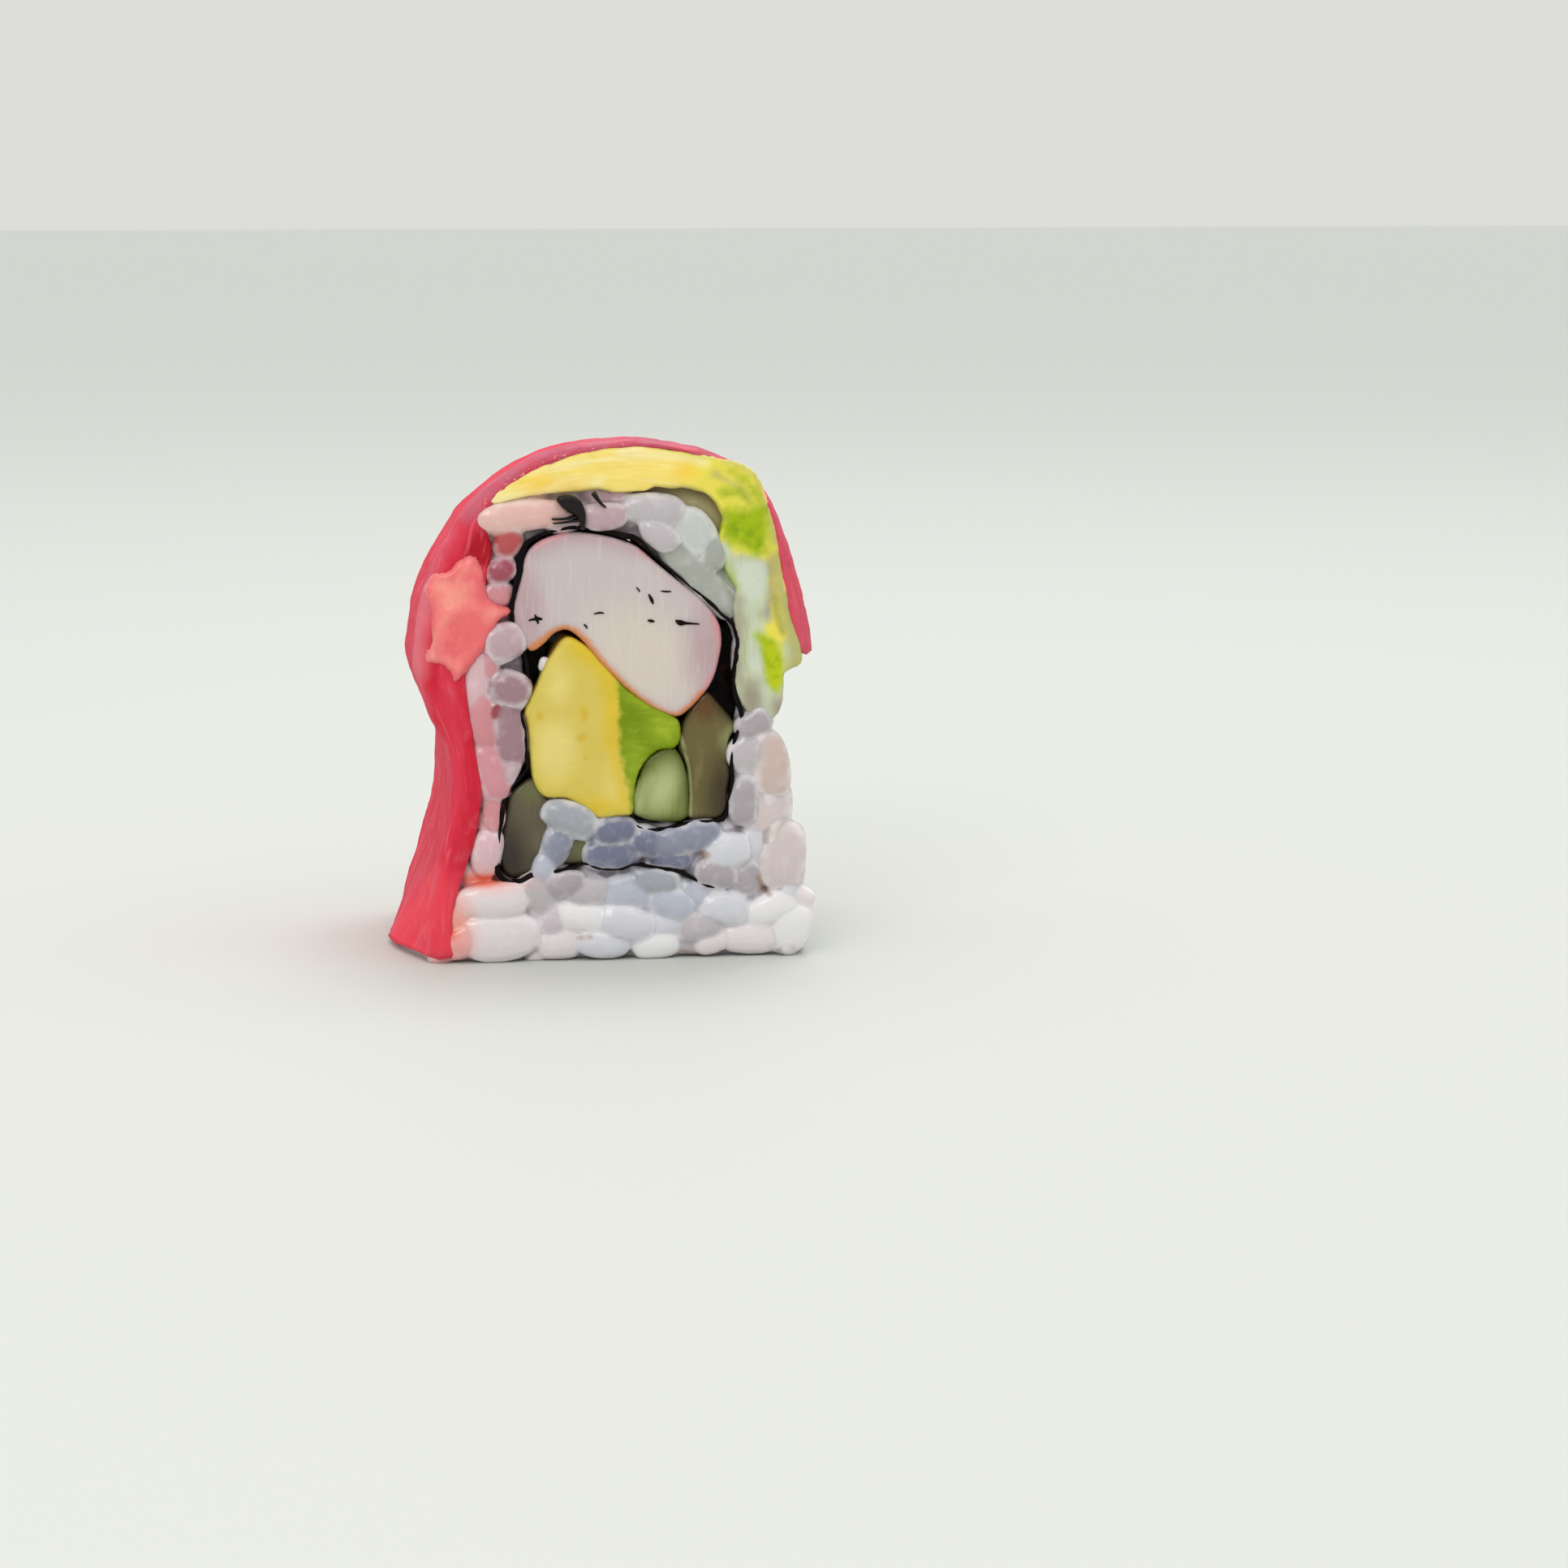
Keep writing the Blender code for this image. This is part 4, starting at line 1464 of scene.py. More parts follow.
@dataclass
class AvocadoTopping(DrawnFood):
    """The slice of avocado between the tuna and the rice."""

    name: str = "avocado_topping"
    node: str = "avocado_slice"
    slot: str = "avocado"
    finish: Finish = AvocadoFinish()
    rounding: float = 0.4
    cell: float = 0.36
    wrinkle: float = 0.2
    wrinkle_size: float = 2.2
    corners: tuple = (
        (-9.8, 41.2), (-9.1, 42.4), (-7.5, 43.4), (-5, 44.5), (-2.5, 45.4), (0, 46), (3, 46.2), (6, 46),
        (9, 45.5), (11.2, 45), (12.7, 44.6), (13.9, 43.8), (14.7, 42.6), (15.3, 40.8), (15.9, 38.5),
        (16.3, 36.5), (16.6, 34.3), (17, 32.3), (17.6, 30), (18.1, 28.2), (18.1, 26.6), (17.2, 26.1),
        (16.6, 25.6), (16.4, 24), (16.2, 22.6), (15.5, 21.5), (14.6, 21.2), (13.4, 22), (12.5, 23.2),
        (12.1, 24.6), (12.2, 27), (12.4, 28.8), (12.1, 30.4), (11.9, 32), (12.2, 33.2), (11.5, 34.6),
        (10.9, 36.2), (10.6, 37.6), (10.9, 38.8), (11.1, 39.6), (10.4, 40.9), (9.6, 41.8), (8.4, 42.3),
        (6.6, 42.4), (5, 42.5), (4.2, 42.1), (3, 42), (1.4, 42), (0, 42.3), (-1.6, 42.1), (-3.4, 42),
        (-5.2, 42), (-7, 41.7), (-8.6, 41.2),
    )
    shoulder: tuple = ((8.0, 46.4), (11.2, 45.4), (13.4, 44.4), (14.8, 42.6), (16.0, 40.0))
    tuck: float = 1.33
    ridge: tuple = (
        (-9.4, 41.5), (-6, 43), (0, 44.2), (6, 44.3), (11, 42.8), (13.3, 39.6), (14.2, 34), (15.2, 27),
        (14.8, 21.6),
    )
    marks: Marks = marked(
        lime=Area((
            (7.2, 48), (7.6, 44.4), (9, 41), (10, 36), (12, 20), (20, 20), (20, 48),
        )),
        cream=[
            # painted wet highlight along the lower left edge
            Streak(((-9.6, 41.4), (-7, 41.9), (-4, 42.3), (0, 42.9)), 0.9),
            Streak(((2, 45.5), (6, 45.2), (9.5, 44.6)), 0.7),
            Streak(((-6, 43.8), (-1, 44.9)), 0.5),
        ],
        amber=[Spot(-5.4, 42.9, 1.5, 0.7, 10), Spot(-2.6, 42.5, 1.4, 0.5), Spot(7.8, 43.9, 0.9, 0.7)],
        pale=[
            Area((
                (11, 37.4), (12.2, 36.6), (14.6, 36), (15.1, 33.6), (15.2, 31), (14.6, 29.6), (16.8, 27),
                (17.2, 25), (16.4, 20.6), (12, 20.6), (10.8, 28), (11.4, 33.4), (10.2, 36.2),
            )),
            Spot(17.2, 27.6, 0.8, 1.4),
        ],
        glass=[
            Area(((12.5, 35.6), (14.7, 35.8), (14.9, 33.2), (14, 32.4), (12.6, 33))),
            Spot(14.1, 26.6, 0.5, 1.3),
            Spot(11.1, 36.6, 0.5, 0.9),
        ],
        haze=[
            Streak(((14.9, 42), (15.4, 39.8), (15.8, 37.6)), 0.8),
            Streak(((9.4, 45.4), (12.2, 44.6), (13.8, 43.6), (14.8, 42)), 0.5),
            Streak(((10.4, 43.6), (12.4, 42.4), (13.4, 41.4)), 0.35),
            Streak(((16.3, 36), (16.6, 33), (17.2, 30), (17.8, 27.4), (17.2, 25)), 1.7),
        ],
        dusk=[
            Spot(13.6, 23.4, 1, 1.8),
            Streak(((12.4, 32.4), (12.5, 30.2), (12.3, 27.4), (12.6, 25)), 0.7),
            Streak(((15.2, 35.6), (15.4, 33), (15, 31)), 0.5),
            Spot(16, 22.6, 0.6, 0.9),
        ],
        green=[
            Area((
                (10.8, 38.4), (11.3, 40.4), (13, 40.6), (14.9, 40.7), (15.1, 38.6), (14.9, 36.8),
                (14.2, 36.2), (12.8, 36.9), (11.6, 37.4),
            )),
            Streak(((11, 35.8), (11.5, 34.6), (12, 33.6)), 0.5),
            Streak(((11, 42), (12.6, 41.8), (13.8, 40.6)), 0.5),
            Streak(((12, 43.8), (13.4, 42.8), (14.2, 41.4)), 0.3),
        ],
        blob=Area((
            (13.9, 29.4), (15.5, 29), (16.5, 27.4), (16.6, 25.4), (16, 23.9), (15.3, 24.2), (14.7, 25.6),
            (14.6, 27.2),
        )),
        olive=[
            Streak(((15.7, 32.6), (15.9, 31), (16.4, 29.4)), 0.6),
            # painted shade along the lower edge over the hollow
            Streak(((5, 42.4), (8.4, 42.3), (10.2, 41.2), (11.2, 39.6)), 0.4),
        ],
        peach=Streak(((14.7, 42.4), (15.4, 40.2), (15.9, 38.6), (16.4, 36), (16.7, 33.2)), 0.42),
    )

    def fields(self, drawn: Points) -> dict:
        """What the finish reads at each point."""
        return {**super().fields(drawn), "strip": along_strip(drawn, smooth_line(self.ridge, 0.5))}

    def push(self, drawn: Points) -> Points:
        """Tucks the upper right corner under the tuna behind the front cut."""
        behind = smoothstep(drawn[:, 1], 0.2 - HALF_LENGTH, 1.2 - HALF_LENGTH)
        return np.outer(-self.tuck * (close_to(drawn, self.shoulder, 0.6, 2.4) * behind), (1.0, 0.0, 1.0))


@dataclass
class CrabStick(DrawnFood):
    """The crab stick, with its rim of orange and pink."""

    name: str = "crab_stick_cut"
    node: str = "crab_stick"
    slot: str = "crab"
    finish: Finish = CrabFinish()
    rounding: float = 0.5
    wrinkle: float = 0.07
    wrinkle_size: float = 4.0
    corners: tuple = (
        (-7.6, 32), (-6.95, 34.5), (-6.4, 36.8), (-5, 38), (-3, 38.5), (-1, 38.5), (1.5, 38), (3.3, 37.3),
        (5, 35.9), (7, 34.2), (9, 32.6), (10.1, 31.4), (10.8, 30), (10.9, 28.5), (10.7, 27), (10.3, 25.5),
        (9.7, 24.4), (8.8, 23.4), (8, 22.6), (7.2, 22), (6.4, 22), (5.3, 22.4), (4, 23.2), (2.5, 24.4),
        (1, 25.9), (-0.2, 27.2), (-1.3, 28.7), (-2.3, 29.6), (-3, 29.9), (-4, 29.6), (-5, 28.6), (-6, 28),
        (-6.6, 28.4), (-7.1, 29.4), (-7.5, 30.6),
    )
    marks: Marks = marked(
        orange=Streak((
            (-6.2, 28.1), (-4.6, 29.2), (-3, 29.9), (-1.8, 29.2), (0, 27), (2.6, 24.3), (5.2, 22.4),
            (6.8, 21.9), (7.8, 22.4), (9.2, 23.8),
        ), 0.9),
        pink=[
            Streak(((8.6, 23.1), (10.2, 25.3), (10.8, 27), (10.9, 28.8), (10.3, 31.2)), 0.9),
            Streak(((-5.6, 37.6), (-4.6, 38.1), (-3.4, 38.4)), 0.8),
            Streak(((3.6, 37), (4.6, 36.2)), 0.5),
        ],
        cream=Spot(3.5, 27.5, 5, 4, -40),
        shade=[
            Spot(-6.8, 31.5, 1.8, 3.6),
            Spot(9.6, 28, 1.6, 3.6),
            Streak(((-6, 37), (-2, 38.4), (3, 37.4)), 1.2),
        ],
    )


@dataclass
class AvocadoFilling(DrawnFood):
    """The avocado inside the nori, yellow on the left and green on the right."""

    name: str = "avocado_filling"
    node: str = "avocado_wedge"
    slot: str = "avocado"
    finish: Finish = WedgeFinish()
    rounding: float = 0.5
    wrinkle: float = 0.14
    wrinkle_size: float = 2.4
    setback: float = 0.1
    corners: tuple = (
        (-2.9, 29.2), (-4, 28.2), (-4.6, 27.2), (-5.1, 26.2), (-5.6, 25), (-6.3, 23.8), (-6.7, 22.8),
        (-6.4, 21), (-6.3, 19), (-6.2, 17.5), (-6, 16.4), (-5, 15), (-3.2, 14.7), (-2, 14.1), (-0.8, 13.2),
        (0.3, 12.8), (1.5, 13), (2.9, 13.2), (3.1, 15), (3.5, 16.6), (4.1, 18), (5.2, 18.9), (6.8, 19.2),
        (7.3, 20.3), (7.2, 21.5), (6.2, 22.4), (4.6, 23), (3, 24.1), (1.6, 25.4), (0.2, 27), (-1.2, 28.5),
    )
    marks: Marks = marked(
        green=Area((
            (1.6, 25.6), (1.7, 22), (1.7, 19.6), (2, 17.6), (2.5, 15.6), (3, 12.6), (8.5, 17), (8.5, 22),
            (4.6, 24),
        )),
        gold=[
            Streak(((-2, 28.4), (0.2, 26.4), (1, 24.6), (1.2, 21.5), (1.2, 19.6)), 1.3),
            Streak(((1.2, 19), (1.7, 16.4), (2, 14.4)), 0.6),
            Spot(0, 14, 1.8, 0.6),
        ],
        # cream: painted highlights, soft pale patches on the yellow
        cream=[Spot(-4, 19, 1.8, 2.6), Spot(1.2, 15.4, 0.6, 1.6), Spot(-3.6, 25, 0.9, 1.4)],
        pale=[Spot(5.8, 21, 1.4, 1.2), Spot(3.4, 17, 0.8, 2.2, 10), Spot(3.6, 23.6, 1.4, 0.4, -35)],
        dot=[
            Spot(-1.4, 22.3, 0.3, 0.6),
            Spot(-1.7, 20.2, 0.45, 0.35),
            Spot(-5.4, 22.2, 0.25, 0.4),
            Spot(-1.3, 18.4, 0.2, 0.2),
        ],
    )


@dataclass
class Cucumber(DrawnFood):
    """What the three strips of cucumber share."""

    slot: str = "cucumber"
    finish: Finish = CucumberFinish()
    wrinkle: float = 0.08
    wrinkle_size: float = 2.0
    setback: float = 0.3


@dataclass
class PaleCucumber(Cucumber):
    """The pale strip of cucumber at the lower middle."""

    name: str = "cucumber_pale_strip"
    node: str = "cucumber_pale"
    finish: Finish = CucumberFinish(
        name="cucumber_pale_flesh",
        flesh=tone(130, 140, 74),
        streak=tone(154, 164, 104),
        dark=tone(72, 78, 14),
        light=tone(180, 190, 134),
    )
    corners: tuple = (
        (3.2, 15.6), (3.6, 16.8), (4.1, 18), (5.3, 18.9), (6.6, 19.1), (7.4, 18.2), (7.9, 16.6),
        (8.05, 14.6), (7.9, 12.9), (7, 12.4), (5.5, 12.4), (4, 12.7), (3, 13.3), (2.9, 14.6),
    )
    marks: Marks = marked(
        # light: a painted highlight in the glassy middle; dark: painted shade along the upper right and
        # lower rims
        light=[Spot(5.6, 15.4, 1.1, 2, -24), Streak(((3.4, 13.6), (3.8, 15), (4.8, 16.4)), 0.5)],
        dark=[
            Streak(((3.8, 17.6), (4.8, 18.6), (6, 19), (7.2, 18.2), (7.9, 16.2), (8, 13.6)), 1.1),
            Streak(((3.6, 12.6), (5.6, 12.4), (7.6, 12.8)), 0.8),
        ],
        line=Streak(((3, 14.4), (3.4, 16.2)), 0.3),
    )


@dataclass
class DarkCucumber(Cucumber):
    """The strip of cucumber at the right, dark olive as painted shade."""

    name: str = "cucumber_dark_strip"
    node: str = "cucumber_green"
    corners: tuple = (
        (7.3, 20.4), (7.7, 21.8), (8.5, 23), (9.6, 24.1), (10.6, 23.2), (11.5, 22.1), (12.2, 21),
        (11.5, 19.4), (11.5, 18), (11.8, 16.8), (11.6, 15.4), (11.4, 13.5), (10.8, 12.7), (9, 12.6),
        (7.9, 12.8), (8, 15), (7.7, 17.6), (7.1, 19),
    )
    marks: Marks = marked(
        # light: a painted highlight; dark: painted shade
        light=Spot(12, 19.6, 0.7, 0.9),
        dark=[Spot(11.4, 14.6, 1.6, 3), Spot(10.8, 23.2, 1.2, 1)],
        brown=Spot(9.2, 22.8, 2, 2),
        line=Streak(((7.2, 20.4), (7.7, 18.6), (8.1, 16), (8.15, 13)), 0.3),
    )


@dataclass
class CornerCucumber(Cucumber):
    """The strip of cucumber at the lower left, dark as painted shade."""

    name: str = "cucumber_corner_strip"
    node: str = "cucumber_corner"
    finish: Finish = CucumberFinish(
        name="cucumber_corner_flesh",
        flesh=tone(96, 86, 68),
        streak=tone(112, 102, 80),
        dark=tone(34, 26, 20),
        light=tone(104, 106, 66),
    )
    corners: tuple = (
        (-6, 16.6), (-7.1, 16.1), (-8.1, 15), (-8.4, 13.5), (-8.7, 12), (-9, 10), (-8.8, 8.4), (-8, 7.6),
        (-7, 7.8), (-5.6, 8.2), (-4, 8.6), (-1, 9), (-0.4, 11), (-2.4, 12.8), (-4.4, 14.4), (-5.2, 15.4),
    )
    marks: Marks = marked(
        # light: painted highlights; dark: painted shade, deepest at the lower left
        light=[Spot(-6.2, 15.4, 1, 0.9), Spot(-1.4, 10.4, 1.4, 1.2)],
        dark=[Spot(-8.4, 8.6, 1.6, 3.4), Spot(-4.6, 9, 1.4, 0.8)],
        line=Streak(((-5.6, 12.6), (-5, 12.4)), 0.2),
    )
    setback: float = 0.5


@dataclass
class AvocadoUnderside(DrawnFood):
    """The shaded inner side of the avocado slice, in the hollow above the rice."""

    name: str = "avocado_underside"
    node: str = "avocado_slice"
    slot: str = "avocado"
    finish: Finish = CucumberFinish(
        name="avocado_underside_flesh",
        flesh=tone(156, 144, 96),
        streak=tone(176, 162, 112),
        dark=tone(104, 84, 48),
        light=tone(186, 180, 140),
    )
    rounding: float = 0.3
    setback: float = 1.3
    corners: tuple = (
        (3.6, 42.4), (4.6, 43.2), (8, 43.4), (11.4, 42), (12.2, 39.4), (11, 37.6), (9.6, 39), (7, 40.4),
        (4.6, 41.4),
    )
    marks: Marks = marked(
        light=Spot(8.6, 40.6, 1.4, 0.5, -25),
        dark=Streak(((4.4, 42.3), (8.6, 42.1), (10.4, 41.2), (11.4, 39.6)), 0.9),
        line=Streak(((6, 41.6), (9, 41)), 0.2),
    )


@dataclass
class NoriSheet(Food):
    """The sheet of nori that is rolled round the fillings."""

    name: str = "nori_sheet"
    node: str = "nori"
    slot: str = "nori"
    finish: Finish = NoriFinish()
    rounding: float = 0.1
    cell: float = 0.45
    step: float = 1.2
    wrinkle: float = 0.06
    wrinkle_size: float = 1.2
    ragged: float = 0.35
    uneven: float = 0.7
    thin: float = 0.7
    setback: float = 0.15
    path: tuple = (
        (2.7, 12.5, 0.25), (4, 11.8, 0.35), (6, 11.8, 0.5), (7.5, 12.2, 0.4), (9, 12.4, 0.4),
        (11, 12.6, 0.55), (11.4, 13.2, 0.35), (11.6, 14.6, 0.3), (11.9, 16.3, 0.4), (11.8, 18, 0.4),
        (12.2, 20, 0.4), (12.8, 21.8, 0.5), (12.3, 23.4, 0.5), (12, 25, 0.5), (12.3, 27, 0.5),
        (12.4, 28.8, 0.5), (12, 30.2, 0.5), (10.9, 31.1, 0.35), (10.2, 31.9, 0.5), (8, 33.75, 0.42),
        (6.5, 35, 0.36), (5, 36.3, 0.4), (3.9, 37.4, 0.7), (3.2, 38, 0.5), (2, 38.25, 0.5),
        (0.5, 38.6, 0.45), (-1, 38.95, 0.55), (-2.4, 39, 0.6), (-3.8, 38.75, 0.4), (-5.2, 38.3, 0.5),
        (-6.4, 37.6, 0.7), (-6.9, 36.3, 0.8), (-7.3, 34.5, 0.8), (-7.7, 32.6, 0.45), (-7.8, 31.4, 0.6),
        (-7.4, 30, 0.25), (-6.9, 28.5, 0.3), (-6.5, 27, 0.5), (-6.4, 25.4, 0.5), (-6.6, 23.6, 0.35),
        (-7, 22.5, 0.4), (-6.7, 21, 0.4), (-6.6, 19, 0.35), (-6.5, 17.6, 0.45), (-7.4, 16.5, 0.6),
        (-8.4, 15.3, 0.6), (-8.7, 14, 0.45), (-9, 12, 0.5), (-9.25, 10, 0.55), (-9.2, 8.2, 0.6),
        (-8.5, 7.3, 0.6), (-7.4, 7.3, 0.6), (-5.9, 8, 0.45), (-3.8, 8.2, 0.35), (-1.3, 8.8, 0.35),
        (-0.3, 8.4, 0.35), (1.8, 8.2, 0.35), (3, 8.6, 0.35), (5, 8.3, 0.35), (7, 7.9, 0.4), (8, 7.4, 0.4),
        (9, 6.9, 0.4), (10, 6.5, 0.35), (11.4, 6.2, 0.25),
    )

    def outline(self) -> Points:
        """The sheet's outline, of an uneven thickness.

        Returns:
            The closed outline of the section.
        """
        line = smooth_line(self.path, self.cell)
        line[:, 2] *= self.thin * (1.0 + self.uneven * ripple(at_depth(line[:, :2], 0.0), 1.3, 4.0))
        return strip_outline(line)

    def push(self, drawn: Points) -> Points:
        """Makes the two cut edges of the sheet uneven."""
        end = smoothstep(np.abs(drawn[:, 1]), HALF_LENGTH - 1.5, HALF_LENGTH) * np.sign(drawn[:, 1])
        return np.outer(self.ragged * ripple(drawn * (1.0, 0.0, 1.0), 0.9, 2.0) * end, BACKWARD)


@dataclass
class NoriFolds(Piece):
    """Dark crumpled nori set deep in the two gaps beside the fillings, standing for the shade in them."""

    name: str = "nori_folds"
    node: str = "nori"
    slot: str = "nori"
    finish: Finish = NoriFinish()
    sink: float = 2.6
    crumple: float = 0.2
    right: tuple = (
        (10.9, 30), (12.2, 30), (12.3, 28.4), (12, 26), (12, 24.4), (12.8, 22.6), (12.4, 21), (11.2, 21.6),
        (10, 23), (9.4, 24.4), (10, 26), (10.6, 28),
    )
    left: tuple = (
        (-7, 28.4), (-5.4, 28.6), (-4.4, 28.2), (-4.9, 26.4), (-5.4, 24.9), (-6.3, 23.4), (-7, 24),
        (-6.8, 26),
    )

    def build(self) -> None:
        """Builds both plugs as one piece."""
        end = HALF_LENGTH - self.sink
        outlines = [smooth_line(corners, 0.5, closed=True) for corners in (self.right, self.left)]
        whole = joined([Slab([outline], -end, end, 0.2, 0.5, 1.6).shape() for outline in outlines])
        out = self.crumple * ripple(whole.points, 0.9, 5.0)
        self.dress(whole.moved(whole.normals() * out[:, None]), {"drawn": whole.points})


@dataclass
class NoriBits(Piece):
    """Scraps of nori that lie on the front cut, all as one piece."""

    node: str = "nori"
    slot: str = "nori"
    finish: Finish = NoriFinish()
    front: float = -HALF_LENGTH
    back: float = -HALF_LENGTH
    rounding: float = 0.1
    cell: float = 0.1
    scraps: tuple = ()

    def build(self) -> None:
        """Builds the scraps."""
        shapes = []
        for path in self.scraps:
            rims = [strip_outline(smooth_line(path, self.cell))]
            shapes.append(Slab(rims, self.front, self.back, self.rounding, self.cell, self.cell).shape())
        whole = joined(shapes)
        self.dress(whole, {"drawn": whole.points})


@dataclass
class NoriLeaf(NoriBits):
    """The wet scrap of nori with a tail on the upper rice, and a small one beside it."""

    name: str = "nori_leaf"
    finish: Finish = NoriFinish(name="nori_wet", roughness=0.24, coat=0.12, specular=0.3)
    front: float = -14.85
    back: float = -13.9
    rounding: float = 0.4
    cell: float = 0.16
    scraps: tuple = (
        (
            (-3.7, 41.6, 0.5), (-3.1, 41.4, 1.2), (-2.3, 41, 1.5), (-1.7, 40.3, 1), (-1.5, 39.6, 0.6),
            (-1.5, 38.9, 0.5),
        ),
        ((-4.2, 39.8, 0.16), (-3.3, 39.8, 0.22), (-2.6, 39.9, 0.3), (-1.9, 40, 0.4)),
        ((-4.1, 39.4, 0.14), (-3, 39.5, 0.2), (-1.7, 39.7, 0.3)),
        ((-0.5, 42.1, 0.5), (-0.2, 41.6, 0.4), (0.2, 41.1, 0.25), (0.6, 40.8, 0.16)),
    )


@dataclass
class CrabSpecks(NoriBits):
    """The small dark specks on the crab stick."""

    name: str = "nori_specks"
    front: float = -14.12
    back: float = -13.8
    rounding: float = 0.05
    scraps: tuple = (
        ((-6.3, 30.8, 0.12), (-5.9, 30.9, 0.2), (-5.5, 30.95, 0.34), (-5.1, 30.9, 0.14)),
        ((-5.75, 31.3, 0.12), (-5.6, 31, 0.24), (-5.45, 30.5, 0.14)),
        ((4.4, 33, 0.12), (4.65, 32.5, 0.3), (4.8, 32.1, 0.12)),
        ((4.3, 30.65, 0.12), (4.6, 30.6, 0.28), (4.9, 30.55, 0.12)),
        ((6.8, 30.6, 0.16), (7.2, 30.4, 0.5), (7.7, 30.35, 0.26), (8.9, 30.25, 0.1)),
        ((5.5, 33.25, 0.1), (6, 33.2, 0.16), (6.4, 33.2, 0.1)),
        ((3.3, 33.6, 0.1), (3.5, 33.4, 0.14), (3.6, 33.2, 0.1)),
        ((-0.5, 31.3, 0.1), (0, 31.4, 0.16), (0.4, 31.35, 0.1)),
        ((-1.4, 30.4, 0.1), (-1.2, 30.2, 0.18), (-1.1, 30, 0.1)),
    )


class Tint(Enum):
    """Tints of the rice grains; the blue-grey ones, BLUE, STEEL, SLATE and DEEP_BLUE, are painted shade for
    grains in shadow.
    """

    WHITE = tone(222, 214, 217)
    PALE = tone(208, 208, 216)
    CREAM = tone(212, 202, 196)
    WARM = tone(205, 191, 191)
    HAZE = tone(202, 190, 200)
    MIST = tone(188, 181, 186)
    LILAC = tone(186, 158, 166)
    BLUSH = tone(222, 180, 172)
    PINK = tone(204, 136, 144)
    CLEAR = tone(156, 122, 132)
    ROSE = tone(158, 70, 88)
    CORAL = tone(180, 74, 76)
    BLOOM = tone(205, 141, 151)
    PETAL = tone(214, 178, 185)
    WINE = tone(148, 54, 66)
    # painted shade: blue-grey tints for grains in shadow
    BLUE = tone(182, 185, 200)
    DEEP_BLUE = tone(110, 114, 138)
    STEEL = tone(159, 162, 170)
    SLATE = tone(136, 140, 158)
    SAND = tone(199, 179, 172)
    SMOKE = tone(168, 160, 166)
    FROST = tone(192, 197, 193)
    SNOW = tone(228, 226, 228)
    GREY = tone(164, 166, 158)


@dataclass(frozen=True)
class Grain:
    """A grain of rice on a cut face: its middle, its length and width, its turn and its tint."""

    x: float
    z: float
    length: float
    width: float
    turn: float
    tint: Tint
    proud: float = 0.0


